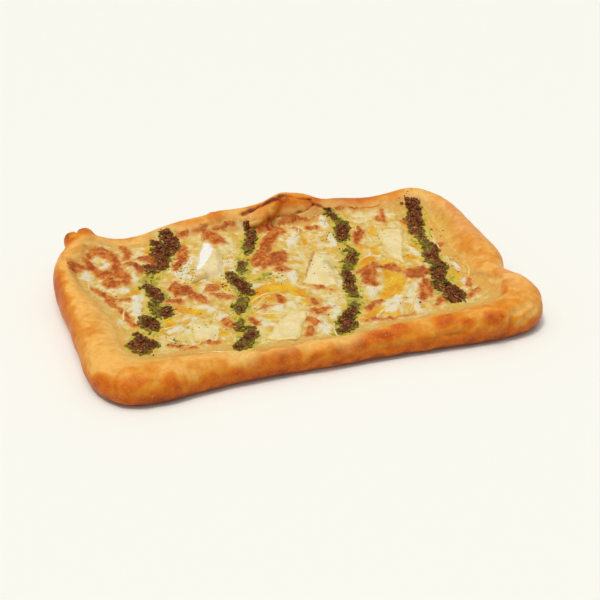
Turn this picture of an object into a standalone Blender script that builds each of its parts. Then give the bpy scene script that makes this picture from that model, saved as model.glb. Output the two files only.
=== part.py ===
"""A baked roman-style pizza: a hand-stretched rectangle of dough with a puffed rim, a sheet of
melted cheese with stripes of herb sauce, shreds and herb flakes, and five soft cheese slices.

Run with: blender --background --python part.py
Units are metres and +Z is up. The origin is the middle of the flat base, X runs along the pizza
and the lower, narrower long rim is at -Y.
"""

import math
import random

import bmesh
import bpy
from mathutils import Matrix, Vector, noise
from mathutils.bvhtree import BVHTree

# Driving dimensions of the dough
HALF_LENGTH = 0.150
HALF_DEPTH = 0.0945
CORNER_RADIUS = 0.027
OUTLINE_MIDDLE = (0.0023, 0.0023)    # the rim is uneven, so the even outline sits a little off the middle
RIM_HEIGHT = 0.0220
RIM_WIDTH = 0.0260
FLOOR_HEIGHT = 0.0115
FOOT_INSET = 0.0032
BULGE = 0.42                 # height of the rim's widest line, as a share of the rim's height
CREST_INSET = 0.38           # place of the rim's crest, as a share of the rim's width
SLOPE_FULLNESS = 1.25        # over 1, the rim's inner slope is full near the crest
HALF_SPINE = 0.055           # half of the line that every rim section faces
DOUGH_WAVE = 0.0008
DOUGH_WAVE_SIZE = 0.020
SLOPE_WAVE = 0.0009
SLOPE_WAVE_SIZE = 0.011

# The rim is uneven. Each row adds to it, fading over its spread:
# side, place along the side, spread, height, outward, width
RIM_SWELLS = (
    ("front", -0.118, 0.026, -0.0015, 0.0070, 0.0130),
    ("front", 0.000, 0.062, -0.0048, 0.0006, -0.0075),
    ("front", 0.100, 0.028, 0.0010, 0.0042, 0.0050),
    ("right", -0.072, 0.022, 0.0030, -0.0040, 0.0130),
    ("right", -0.042, 0.010, -0.0015, -0.0105, 0.0000),
    ("right", 0.005, 0.045, 0.0020, -0.0035, 0.0070),
    ("right", 0.062, 0.012, 0.0015, 0.0005, 0.0000),
    ("right", 0.090, 0.020, 0.0035, -0.0115, 0.0020),
    ("back", 0.125, 0.018, 0.0055, 0.0000, 0.0020),
    ("back", 0.092, 0.012, -0.0020, 0.0000, 0.0000),
    ("back", 0.064, 0.014, 0.0026, 0.0000, -0.0020),
    ("back", 0.022, 0.013, 0.0078, 0.0020, 0.0020),
    ("back", -0.008, 0.032, 0.0050, 0.0000, 0.0000),
    ("back", -0.029, 0.006, 0.0022, 0.0005, 0.0000),
    ("back", -0.101, 0.018, -0.0050, -0.0060, -0.0030),
    ("back", -0.132, 0.009, 0.0040, 0.0010, 0.0020),
    ("left", 0.083, 0.015, 0.0025, -0.0085, 0.0000),
    ("left", 0.038, 0.028, 0.0020, 0.0022, -0.0050),
    ("left", -0.052, 0.030, -0.0010, -0.0030, 0.0100),
    ("left", -0.084, 0.014, 0.0000, -0.0055, 0.0000),
)

# Lumps of dough joined to the rim: centre, half sizes, turn about Z, tilt about the lump's own Y
DOUGH_LUMPS = (
    ((0.0093, 0.0813, 0.0262), (0.0240, 0.0060, 0.0060), 36.0, -15.0),     # folded lip, left run
    ((0.0353, 0.0908, 0.0270), (0.0165, 0.0055, 0.0045), -10.0, 14.0),     # folded lip, right run
    ((-0.1245, 0.0838, 0.0160), (0.0115, 0.0080, 0.0100), 32.0, 0.0),      # pinched ear, drawn-up dough
    ((-0.1308, 0.0842, 0.0188), (0.0056, 0.0064, 0.0088), 35.0, -10.0),    # pinched ear, outer tip
    ((-0.1222, 0.0868, 0.0215), (0.0060, 0.0046, 0.0068), 15.0, 10.0),     # pinched ear, inner tip
    ((0.1058, -0.0927, 0.0165), (0.0066, 0.0052, 0.0056), 0.0, 0.0),       # round blister
    ((-0.0055, -0.0868, 0.0122), (0.0140, 0.0076, 0.0050), 0.0, 3.0),      # rolled lip at the front
)

DOUGH_COLOUR, DOUGH_ROUGHNESS = (0.72, 0.40, 0.12), 0.55

# Melted cheese
CHEESE_THICKNESS = 0.0034
CHEESE_EDGE_SINK = 0.0016
CHEESE_UNDERSIDE = 0.0040
CHEESE_WAVE = 0.0010
CHEESE_WAVE_SIZE = 0.012
CHEESE_EDGE_WAVE = 0.0030
CHEESE_EDGE_WAVE_SIZE = 0.022
CHEESE_EDGE_ROWS = 2         # rows of the sheet over which its edge comes down to the dough
CHEESE_ROW_CROWDING = 1.3    # over 1, the sheet's rows are closer together near its edge
SIDE_BLEND = 0.30            # how far each side's edge share reaches, as a share of the side
CHEESE_COLOUR, CHEESE_ROUGHNESS = (0.86, 0.68, 0.30), 0.35
# Where the sheet's edge lies on the rim's inner slope, as a share of the rim's width
CHEESE_EDGE_SHARE = {"front": 0.86, "right": 1.00, "back": 0.74, "left": 0.68}
# and where it runs further out: side, place along the side, spread, distance
CHEESE_RUNS = (
    ("front", -0.040, 0.024, 0.0065),
    ("front", 0.004, 0.010, 0.0030),
    ("front", 0.060, 0.020, -0.0020),
)

# Browned cheese stands up in soft pillows: centre, half sizes, turn about Z, height
PILLOW_REACH = 1.6           # square of the distance, in half sizes, at which a pillow ends
BROWNED_PILLOWS = (
    ((-0.1107, 0.0623), (0.015, 0.007), -20.0, 0.0016),
    ((-0.0957, 0.0423), (0.008, 0.010), 10.0, 0.0022),
    ((-0.1097, 0.0223), (0.011, 0.009), 0.0, 0.0016),
    ((-0.0667, -0.0057), (0.014, 0.009), -45.0, 0.0020),
    ((-0.0497, -0.0107), (0.007, 0.007), 0.0, 0.0012),
    ((-0.0317, 0.0643), (0.008, 0.008), 0.0, 0.0018),
    ((-0.0067, 0.0233), (0.016, 0.012), 10.0, 0.0022),
    ((0.0083, 0.0583), (0.012, 0.007), 35.0, 0.0016),
    ((0.0543, -0.0157), (0.014, 0.008), 30.0, 0.0020),
    ((0.0693, -0.0117), (0.007, 0.010), 0.0, 0.0016),
    ((0.0803, -0.0257), (0.010, 0.006), 5.0, 0.0020),
    ((0.0243, 0.0803), (0.011, 0.006), -5.0, 0.0014),
)

# Stripes of herb sauce, squeezed out across the pizza: x, y and half width at points by hand
SAUCE_STRIPES = (
    (
        (-0.1087, -0.0677, 0.0072), (-0.1067, -0.0517, 0.0060), (-0.0997, -0.0357, 0.0046),
        (-0.0927, -0.0197, 0.0050), (-0.0882, -0.0017, 0.0044), (-0.0917, 0.0123, 0.0040),
        (-0.0867, 0.0283, 0.0052), (-0.0767, 0.0463, 0.0046), (-0.0712, 0.0643, 0.0048),
        (-0.0657, 0.0813, 0.0042),
    ),
    (
        (-0.0547, -0.0827, 0.0040), (-0.0467, -0.0677, 0.0050), (-0.0457, -0.0517, 0.0036),
        (-0.0417, -0.0297, 0.0048), (-0.0347, -0.0127, 0.0040), (-0.0337, 0.0023, 0.0046),
        (-0.0257, 0.0183, 0.0036), (-0.0187, 0.0383, 0.0042), (-0.0107, 0.0563, 0.0044),
        (-0.0067, 0.0673, 0.0044), (-0.0037, 0.0763, 0.0038),
    ),
    (
        (0.0083, -0.0797, 0.0050), (0.0153, -0.0657, 0.0044), (0.0253, -0.0537, 0.0040),
        (0.0323, -0.0397, 0.0044), (0.0363, -0.0177, 0.0036), (0.0423, 0.0013, 0.0038),
        (0.0498, 0.0173, 0.0042), (0.0518, 0.0343, 0.0036), (0.0553, 0.0543, 0.0050),
        (0.0578, 0.0683, 0.0042), (0.0538, 0.0783, 0.0034),
    ),
    (
        (0.0923, -0.0627, 0.0062), (0.0893, -0.0457, 0.0054), (0.0973, -0.0287, 0.0056),
        (0.1008, -0.0107, 0.0052), (0.1028, 0.0083, 0.0044), (0.1038, 0.0273, 0.0044),
        (0.1093, 0.0423, 0.0048), (0.1143, 0.0563, 0.0052), (0.1193, 0.0693, 0.0046),
    ),
)
STRIPE_STEP = 0.0070
STRIPE_LUMPS = 0.22
STRIPE_LUMP_SIZE = 0.006
STRIPE_FLATNESS = 0.62
STRIPE_END = 0.55            # half width at a stripe's ends, as a share of the stated one
STRIPE_BEVEL = 2

# Shreds of cheese that kept their shape: middle, turn about Z, length, bend
SHREDS = (
    ((-0.0677, -0.0807), -30.0, 0.026, 0.10),
    ((-0.0777, -0.0617), 25.0, 0.018, -0.08),
    ((-0.0957, -0.0557), -15.0, 0.016, 0.12),
    ((-0.1107, -0.0157), 70.0, 0.018, 0.10),
    ((-0.0857, -0.0397), 10.0, 0.015, -0.10),
    ((-0.0577, -0.0357), 60.0, 0.014, 0.12),
    ((-0.0227, -0.0217), 20.0, 0.024, 0.14),
    ((-0.0057, -0.0257), -40.0, 0.020, -0.12),
    ((-0.0277, -0.0437), -5.0, 0.016, 0.10),
    ((0.0073, -0.0737), 80.0, 0.018, 0.08),
    ((0.0443, -0.0617), 35.0, 0.022, 0.10),
    ((0.0643, -0.0537), 65.0, 0.024, -0.08),
    ((0.0723, -0.0427), 75.0, 0.020, 0.10),
    ((0.0583, 0.0083), 20.0, 0.016, 0.10),
    ((0.0223, 0.0583), 60.0, 0.018, -0.12),
    ((0.0383, 0.0503), 50.0, 0.016, 0.10),
    ((0.0683, 0.0543), 65.0, 0.018, 0.10),
    ((0.1143, -0.0277), 75.0, 0.018, -0.10),
    ((0.1143, 0.0183), 80.0, 0.018, 0.10),
    ((-0.1257, 0.0283), 70.0, 0.018, 0.10),
)
SHRED_HALF_WIDTH = 0.0014
SHRED_TAPER = 0.3            # how much narrower a shred's ends are than its middle
SHRED_FLATNESS = 0.75
SHRED_BEVEL = 1
SHRED_PLACES = (-0.5, -0.17, 0.17, 0.5)

# Herb flakes, most of them beside the first two stripes
FLAKE_COUNT = 48
FLAKE_HALF_SIZE = (0.0017, 0.0010, 0.0009)
FLAKE_SHARES = (0.40, 0.30, 0.18, 0.12)
FLAKE_NEAREST = 0.0075
FLAKE_FARTHEST = 0.0200
FLAKE_SPACING = 0.0060
FLAKE_CLEARANCE = 0.0040     # from the slices
FLAKE_SEED = 7

# Soft cheese slices: four corners in turn, thickness and the height that the first edge is propped up
SLICES = {
    "brie_wedge_slice": (
        ((-0.0452, 0.0598), (-0.0317, 0.0508), (-0.0397, 0.0138), (-0.0647, 0.0088)), 0.0042, 0.0022,
    ),
    "brie_rind_slice": (
        ((0.0253, 0.0293), (0.0373, 0.0213), (0.0278, -0.0247), (0.0048, -0.0122)), 0.0036, 0.0018,
    ),
    "front_slice": (
        ((-0.0137, -0.0427), (-0.0032, -0.0487), (-0.0192, -0.0792), (-0.0377, -0.0717)), 0.0028, 0.0010,
    ),
    "right_slice": (
        ((0.0788, 0.0453), (0.0983, 0.0423), (0.0788, -0.0067), (0.0718, 0.0053)), 0.0032, 0.0014,
    ),
    "left_slice": (
        ((-0.0757, -0.0417), (-0.0567, -0.0442), (-0.0642, -0.0667), (-0.0782, -0.0602)), 0.0024, 0.0006,
    ),
}
SLICE_SINK = 0.0008
SLICE_BEVEL = 0.0008
SLICE_COLOUR, SLICE_ROUGHNESS = (0.88, 0.78, 0.48), 0.42

GAP = 0.0003                 # between pieces that rest on each other
SHARP_ANGLE = math.radians(50.0)

# Mesh resolution
COLUMNS = 104
LOWER_RINGS = 3
UPPER_RINGS = 5
SLOPE_RINGS = 4
FLOOR_SHARES = (0.35, 0.72)
BASE_SHARE = 0.55
SHEET_SEGMENTS = (33, 22)
SLICE_SEGMENTS = (4, 6)


# ---------------------------------------------------------------- scene and objects

def clear_scene():
    for obj in list(bpy.data.objects):
        bpy.data.objects.remove(obj, do_unlink=True)


def new_collection(name):
    collection = bpy.data.collections.new(name)
    bpy.context.scene.collection.children.link(collection)
    return collection


def new_material(name, colour, roughness):
    material = bpy.data.materials.new(name)
    material.use_nodes = True
    principled = material.node_tree.nodes["Principled BSDF"]
    principled.inputs["Base Color"].default_value = (*colour, 1.0)
    principled.inputs["Roughness"].default_value = roughness
    principled.inputs["Metallic"].default_value = 0.0
    material.diffuse_color = (*colour, 1.0)
    return material


def new_object(name, bm, collection):
    """An object from a mesh whose faces are split first, so that no face is bent."""
    bmesh.ops.triangulate(bm, faces=bm.faces)
    mesh = bpy.data.meshes.new(name)
    bm.to_mesh(mesh)
    bm.free()
    obj = bpy.data.objects.new(name, mesh)
    collection.objects.link(obj)
    return obj


def apply_modifiers(obj):
    depsgraph = bpy.context.evaluated_depsgraph_get()
    mesh = bpy.data.meshes.new_from_object(obj.evaluated_get(depsgraph))
    obj.modifiers.clear()
    obj.data = mesh


def unite_with_collection(obj, collection):
    """Join every object of the collection to obj in one step, then remove the collection."""
    union = obj.modifiers.new("union", "BOOLEAN")
    union.operation = "UNION"
    union.solver = "MANIFOLD"
    union.operand_type = "COLLECTION"
    union.collection = collection
    apply_modifiers(obj)
    for part in list(collection.objects):
        bpy.data.objects.remove(part, do_unlink=True)
    bpy.data.collections.remove(collection)


def cut_clear(obj, neighbour):
    """Cut obj by its neighbour, swollen by the gap, so that they don't touch."""
    bm = bmesh.new()
    bm.from_mesh(neighbour.data)
    for vert in bm.verts:
        vert.co += vert.normal * GAP
    cutter = new_object("cutter", bm, bpy.context.scene.collection)
    cut = obj.modifiers.new("cut", "BOOLEAN")
    cut.operation = "DIFFERENCE"
    cut.solver = "MANIFOLD"
    cut.object = cutter
    apply_modifiers(obj)
    bpy.data.objects.remove(cutter, do_unlink=True)


def keep_largest_piece(obj):
    """Drop the loose scraps that a cut leaves, and split its bent faces into triangles."""
    bm = bmesh.new()
    bm.from_mesh(obj.data)
    unseen = set(bm.verts)
    pieces = []
    while unseen:
        piece = {unseen.pop()}
        border = list(piece)
        while border:
            vert = border.pop()
            linked = {edge.other_vert(vert) for edge in vert.link_edges} - piece
            piece |= linked
            border.extend(linked)
        unseen -= piece
        pieces.append(piece)
    pieces.sort(key=len)
    scraps = [vert for piece in pieces[:-1] for vert in piece]
    bmesh.ops.delete(bm, geom=scraps, context="VERTS")
    bmesh.ops.triangulate(bm, faces=bm.faces)
    bm.to_mesh(obj.data)
    bm.free()


def finish(obj, material):
    obj.data.materials.clear()
    obj.data.materials.append(material)
    obj.data.shade_smooth()
    obj.data.set_sharp_from_angle(angle=SHARP_ANGLE)


# ---------------------------------------------------------------- shape helpers

def bell(offset, spread):
    return math.exp(-0.5 * (offset / spread) ** 2)


def smooth_step(value):
    value = min(max(value, 0.0), 1.0)
    return value * value * (3.0 - 2.0 * value)


def wave(x, y, z, size):
    return noise.noise(Vector((x, y, z)) / size)


def surface_of(obj):
    """The object's surface as it is now, for height_at."""
    bm = bmesh.new()
    bm.from_mesh(obj.data)
    surface = BVHTree.FromBMesh(bm)
    bm.free()
    return surface


def height_at(surfaces, x, y):
    """Height of the topmost of the surfaces at x, y."""
    hits = [surface.ray_cast(Vector((x, y, 1.0)), Vector((0.0, 0.0, -1.0)))[0] for surface in surfaces]
    return max(hit.z for hit in hits if hit)


def smooth_route(points, step):
    """Points about one step apart on a Catmull-Rom curve through rows of any equal length."""
    rows = [Vector(row) for row in points]
    rows = [2.0 * rows[0] - rows[1]] + rows + [2.0 * rows[-1] - rows[-2]]
    route = []
    for before, start, end, after in zip(rows, rows[1:], rows[2:], rows[3:]):
        count = max(1, round((end.xy - start.xy).length / step))
        for index in range(count):
            t = index / count
            route.append(0.5 * (
                2.0 * start + (end - before) * t
                + (2.0 * before - 5.0 * start + 4.0 * end - after) * t ** 2
                + (3.0 * start - before - 3.0 * end + after) * t ** 3
            ))
    route.append(rows[-2])
    return route


# ---------------------------------------------------------------- outline of the dough

STRAIGHT_X = 2.0 * (HALF_LENGTH - CORNER_RADIUS)
STRAIGHT_Y = 2.0 * (HALF_DEPTH - CORNER_RADIUS)
ARC = 0.5 * math.pi * CORNER_RADIUS
PERIMETER = 2.0 * (STRAIGHT_X + STRAIGHT_Y) + 4.0 * ARC
SIDE_ORDER = ("front", "right", "back", "left")
SIDE_LENGTH = {"front": STRAIGHT_X, "right": STRAIGHT_Y, "back": STRAIGHT_X, "left": STRAIGHT_Y}
SIDE_OUTWARD = {
    "front": Vector((0.0, -1.0)), "right": Vector((1.0, 0.0)),
    "back": Vector((0.0, 1.0)), "left": Vector((-1.0, 0.0)),
}


def side_start(side):
    """Distance along the outline, counter-clockwise from the front-left corner, where a side starts."""
    before = SIDE_ORDER[:SIDE_ORDER.index(side)]
    return sum(SIDE_LENGTH[name] + ARC for name in before)


def place_distance(side, along):
    """Distance along the outline of a place that a coordinate, x or y, names on a side."""
    forward = along if side in ("front", "right") else -along
    return side_start(side) + 0.5 * SIDE_LENGTH[side] + forward


def way_between(distance, other):
    """The shorter way round between two distances along the outline."""
    return (distance - other + 0.5 * PERIMETER) % PERIMETER - 0.5 * PERIMETER


def outline_at(distance):
    """Point and outward direction on the rounded rectangle at a distance along it."""
    distance %= PERIMETER
    for side in SIDE_ORDER:
        outward = SIDE_OUTWARD[side]
        forward = Vector((-outward.y, outward.x))
        reach = HALF_DEPTH if side in ("front", "back") else HALF_LENGTH
        if distance <= SIDE_LENGTH[side]:
            along = distance - 0.5 * SIDE_LENGTH[side]
            return Vector(OUTLINE_MIDDLE) + outward * reach + forward * along, outward
        distance -= SIDE_LENGTH[side]
        if distance <= ARC:
            centre = Vector(OUTLINE_MIDDLE) + outward * (reach - CORNER_RADIUS)
            centre += forward * 0.5 * SIDE_LENGTH[side]
            turn = distance / CORNER_RADIUS
            direction = outward * math.cos(turn) + forward * math.sin(turn)
            return centre + direction * CORNER_RADIUS, direction
        distance -= ARC
    return outline_at(0.0)


def rim_at(distance):
    """Height, outward shift and width of the rim at a distance along the outline."""
    height, outward, width = RIM_HEIGHT, 0.0, RIM_WIDTH
    for side, along, spread, taller, further, wider in RIM_SWELLS:
        share = bell(way_between(distance, place_distance(side, along)), spread)
        height += share * taller
        outward += share * further
        width += share * wider
    return height, outward, width


def rim_frame(distance):
    """Outline point, unit direction towards the spine and the way to the spine at a distance."""
    point, direction = outline_at(distance)
    point = point + direction * rim_at(distance)[1]
    middle_x, middle_y = OUTLINE_MIDDLE
    spine = Vector((min(max(point.x, middle_x - HALF_SPINE), middle_x + HALF_SPINE), middle_y))
    inward = spine - point
    return point, inward.normalized(), inward.length


# ---------------------------------------------------------------- dough

def rim_section(height, width):
    """Inset and height from the foot, over the bulge and the crest, down to the floor."""
    bulge = BULGE * height
    crest = CREST_INSET * width
    section = [(FOOT_INSET, 0.0)]
    for index in range(1, LOWER_RINGS + 1):
        turn = 0.5 * math.pi * index / LOWER_RINGS
        section.append((FOOT_INSET * (1.0 - math.sin(turn)), bulge * (1.0 - math.cos(turn))))
    for index in range(1, UPPER_RINGS + 1):
        turn = 0.5 * math.pi * index / UPPER_RINGS
        section.append((crest * (1.0 - math.cos(turn)), bulge + (height - bulge) * math.sin(turn)))
    for index in range(1, SLOPE_RINGS + 1):
        share = index / SLOPE_RINGS
        fall = 0.5 + 0.5 * math.cos(math.pi * share ** SLOPE_FULLNESS)
        section.append((crest + (width - crest) * share, FLOOR_HEIGHT + (height - FLOOR_HEIGHT) * fall))
    return section


def dough_column(distance):
    """Points of one column of the dough, from the base to the floor, poles left out."""
    height, _, width = rim_at(distance)
    point, inward, way = rim_frame(distance)
    foot = point + inward * FOOT_INSET
    column = [Vector((*(foot.lerp(point + inward * way, BASE_SHARE)), 0.0))]
    for inset, rise in rim_section(height, width):
        place = point + inward * inset
        swell = min(rise / RIM_HEIGHT, 1.0)
        place = place - inward * DOUGH_WAVE * swell * wave(place.x, place.y, rise, DOUGH_WAVE_SIZE)
        lift = swell * SLOPE_WAVE * wave(place.x, place.y, 0.0, SLOPE_WAVE_SIZE)
        column.append(Vector((place.x, place.y, rise + lift if rise > 0.0 else 0.0)))
    for share in FLOOR_SHARES:
        place = (point + inward * width).lerp(point + inward * way, share)
        lift = SLOPE_WAVE * wave(place.x, place.y, 0.0, SLOPE_WAVE_SIZE)
        column.append(Vector((place.x, place.y, FLOOR_HEIGHT + 0.5 * lift)))
    return column


def make_dough_body(collection):
    """A sphere whose columns are moved to the rim's sections, so that it stays one closed skin."""
    columns = [dough_column(PERIMETER * index / COLUMNS) for index in range(COLUMNS)]
    rings = len(columns[0])
    bm = bmesh.new()
    bmesh.ops.create_uvsphere(bm, u_segments=COLUMNS, v_segments=rings + 1, radius=1.0)
    for vert in bm.verts:
        level = round((rings + 1) * (1.0 - math.acos(max(-1.0, min(1.0, vert.co.z))) / math.pi))
        if level == 0:
            vert.co = Vector((*OUTLINE_MIDDLE, 0.0))
        elif level == rings + 1:
            vert.co = Vector((*OUTLINE_MIDDLE, FLOOR_HEIGHT))
        else:
            turn = math.atan2(vert.co.y, vert.co.x) / (2.0 * math.pi)
            vert.co = columns[round(turn * COLUMNS) % COLUMNS][level - 1]
    return new_object("crust", bm, collection)


def make_dough_lumps(collection):
    for index, (centre, half_sizes, turn, tilt) in enumerate(DOUGH_LUMPS):
        bm = bmesh.new()
        bmesh.ops.create_icosphere(bm, subdivisions=3, radius=1.0)
        shape = Matrix.Translation(centre)
        shape @= Matrix.Rotation(math.radians(turn), 4, "Z")
        shape @= Matrix.Rotation(math.radians(tilt), 4, "Y")
        shape @= Matrix.Diagonal((*half_sizes, 1.0))
        bm.transform(shape)
        new_object(f"dough_lump_{index}", bm, collection)


def make_crust(collection):
    """The crust, and the surface of its dough without the lumps."""
    crust = make_dough_body(collection)
    dough = surface_of(crust)
    lumps = new_collection("dough lumps")
    make_dough_lumps(lumps)
    unite_with_collection(crust, lumps)
    keep_largest_piece(crust)
    finish(crust, new_material("baked_dough", DOUGH_COLOUR, DOUGH_ROUGHNESS))
    return crust, dough


# ---------------------------------------------------------------- melted cheese

def cheese_edge_share(distance):
    """Share of the rim's width at which the cheese ends, blended from side to side."""
    total, weight = 0.0, 0.0
    for side, share in CHEESE_EDGE_SHARE.items():
        part = bell(way_between(distance, place_distance(side, 0.0)), SIDE_BLEND * SIDE_LENGTH[side])
        total += part * share
        weight += part
    return total / weight


def cheese_edge_at(distance):
    point, inward, _ = rim_frame(distance)
    inset = rim_at(distance)[2] * cheese_edge_share(distance)
    for side, along, spread, further in CHEESE_RUNS:
        inset -= further * bell(way_between(distance, place_distance(side, along)), spread)
    inset += CHEESE_EDGE_WAVE * wave(point.x, point.y, 0.0, CHEESE_EDGE_WAVE_SIZE)
    return point + inward * inset


def square_distance(u, v):
    """Distance along the outline that stands for a point on the edge of the square -1..1."""
    if abs(v) >= abs(u):
        side = "front" if v < 0.0 else "back"
        along = u
    else:
        side = "left" if u < 0.0 else "right"
        along = v
    return place_distance(side, 0.5 * along * (SIDE_LENGTH[side] + ARC))


def pillow_height(x, y):
    rise = 0.0
    for (centre_x, centre_y), (half_x, half_y), turn, height in BROWNED_PILLOWS:
        local = Matrix.Rotation(-math.radians(turn), 2) @ Vector((x - centre_x, y - centre_y))
        reach = (local.x / half_x) ** 2 + (local.y / half_y) ** 2
        rise = max(rise, height * smooth_step(PILLOW_REACH - reach))
    return rise


def make_cheese_sheet(dough, collection):
    """A grid stretched to the cheese's outline, laid on the dough and closed below inside it."""
    bm = bmesh.new()
    bmesh.ops.create_grid(bm, x_segments=SHEET_SEGMENTS[0], y_segments=SHEET_SEGMENTS[1], size=1.0)
    for vert in bm.verts:
        u, v = vert.co.x, vert.co.y
        reach = max(abs(u), abs(v))
        place = Vector(OUTLINE_MIDDLE)
        if reach > 0.0:
            out = 1.0 - (1.0 - reach) ** CHEESE_ROW_CROWDING
            place = place.lerp(cheese_edge_at(square_distance(u / reach, v / reach)), out)
        cover = smooth_step(0.5 * (1.0 - reach) * SHEET_SEGMENTS[1] / CHEESE_EDGE_ROWS)
        rise = CHEESE_THICKNESS + CHEESE_WAVE * wave(place.x, place.y, 0.0, CHEESE_WAVE_SIZE)
        rise = (rise + pillow_height(place.x, place.y) + CHEESE_EDGE_SINK) * cover - CHEESE_EDGE_SINK
        vert.co = Vector((place.x, place.y, height_at([dough], place.x, place.y) + rise))
    top = list(bm.faces)
    extruded = bmesh.ops.extrude_face_region(bm, geom=top)["geom"]
    for vert in (item for item in extruded if isinstance(item, bmesh.types.BMVert)):
        vert.co.z = CHEESE_UNDERSIDE
    base = [item for item in extruded if isinstance(item, bmesh.types.BMFace)]
    bmesh.ops.dissolve_faces(bm, faces=base)
    bmesh.ops.recalc_face_normals(bm, faces=bm.faces)
    return new_object("melted_cheese", bm, collection)


def make_tube(name, route, flatness, side_bevel, surfaces, collection):
    """A round strand along rows of x, y, radius, flattened and laid half into the surfaces."""
    curve = bpy.data.curves.new(name, "CURVE")
    curve.dimensions = "3D"
    curve.bevel_depth = 1.0
    curve.bevel_resolution = side_bevel
    curve.use_fill_caps = True
    spline = curve.splines.new("POLY")
    spline.points.add(len(route) - 1)
    for point, (x, y, radius) in zip(spline.points, route):
        point.co = (x, y, 0.0, 1.0)
        point.radius = radius
    guide = bpy.data.objects.new(name, curve)
    bpy.context.scene.collection.objects.link(guide)
    depsgraph = bpy.context.evaluated_depsgraph_get()
    mesh = bpy.data.meshes.new_from_object(guide.evaluated_get(depsgraph))
    bpy.data.objects.remove(guide, do_unlink=True)
    bm = bmesh.new()
    bm.from_mesh(mesh)
    bmesh.ops.remove_doubles(bm, verts=bm.verts, dist=0.00001)
    for vert in bm.verts:
        vert.co.z = flatness * vert.co.z + height_at(surfaces, vert.co.x, vert.co.y)
    bmesh.ops.recalc_face_normals(bm, faces=bm.faces)
    return new_object(name, bm, collection)


def stripe_route(stripe):
    """A stripe's smooth route, with lumps in its width and rounded ends."""
    route = smooth_route(stripe, STRIPE_STEP)
    rows = []
    for index, (x, y, radius) in enumerate(route):
        to_end = min(index, len(route) - 1 - index)
        radius *= 1.0 + STRIPE_LUMPS * wave(x, y, 0.0, STRIPE_LUMP_SIZE)
        if to_end == 0:
            radius *= STRIPE_END
        rows.append((x, y, radius))
    return rows


def shred_route(middle, turn, length, bend):
    """Points of a shred that bends sideways by a share of its length."""
    along = Vector((math.cos(math.radians(turn)), math.sin(math.radians(turn))))
    aside = Vector((-along.y, along.x))
    rows = []
    for share in SHRED_PLACES:
        place = Vector(middle) + along * length * share + aside * length * bend * (1.0 - 4.0 * share ** 2)
        rows.append((place.x, place.y, SHRED_HALF_WIDTH * (1.0 - 2.0 * SHRED_TAPER * abs(share))))
    return rows


def inside_slice(place, margin):
    """Whether a place lies in a slice's four corners, or nearer to them than a margin."""
    for corners, _, _ in SLICES.values():
        corners = [Vector(corner) for corner in corners]
        sides = zip(corners, corners[1:] + corners[:1])
        beyond = [(place - start).dot(Vector((start.y - end.y, end.x - start.x)).normalized())
                  for start, end in sides]
        if max(beyond) < margin:
            return True
    return False


def make_flakes(surfaces, collection):
    """Herb flakes scattered on both sides of the stripes, clear of each other and of the slices."""
    draw = random.Random(FLAKE_SEED)
    routes = [smooth_route(stripe, STRIPE_STEP) for stripe in SAUCE_STRIPES]
    placed = []
    while len(placed) < FLAKE_COUNT:
        route = draw.choices(routes, weights=FLAKE_SHARES)[0]
        near = draw.choice(route[2:-2])
        side = draw.choice((-1.0, 1.0))
        place = Vector((near[0] + side * draw.uniform(FLAKE_NEAREST, FLAKE_FARTHEST), near[1]))
        crowded = any((place - other).length < FLAKE_SPACING for other in placed)
        if crowded or inside_slice(place, FLAKE_CLEARANCE):
            continue
        placed.append(place)
        bm = bmesh.new()
        bmesh.ops.create_icosphere(bm, subdivisions=1, radius=1.0)
        shape = Matrix.Translation((place.x, place.y, height_at(surfaces, place.x, place.y)))
        shape @= Matrix.Rotation(draw.uniform(0.0, math.pi), 4, "Z")
        shape @= Matrix.Diagonal((*FLAKE_HALF_SIZE, 1.0))
        bm.transform(shape)
        new_object(f"flake_{len(placed)}", bm, collection)


def make_melted_cheese(crust, dough, collection):
    cheese = make_cheese_sheet(dough, collection)
    surfaces = [dough, surface_of(cheese)]
    toppings = new_collection("fused toppings")
    for index, stripe in enumerate(SAUCE_STRIPES):
        make_tube(f"stripe_{index}", stripe_route(stripe), STRIPE_FLATNESS, STRIPE_BEVEL,
                  surfaces, toppings)
    for index, (middle, turn, length, bend) in enumerate(SHREDS):
        if not inside_slice(Vector(middle), 0.5 * length):
            make_tube(f"shred_{index}", shred_route(middle, turn, length, bend), SHRED_FLATNESS, SHRED_BEVEL,
                      surfaces, toppings)
    make_flakes(surfaces, toppings)
    unite_with_collection(cheese, toppings)
    cut_clear(cheese, crust)
    keep_largest_piece(cheese)
    finish(cheese, new_material("melted_cheese", CHEESE_COLOUR, CHEESE_ROUGHNESS))
    return cheese


# ---------------------------------------------------------------- cheese slices

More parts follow.
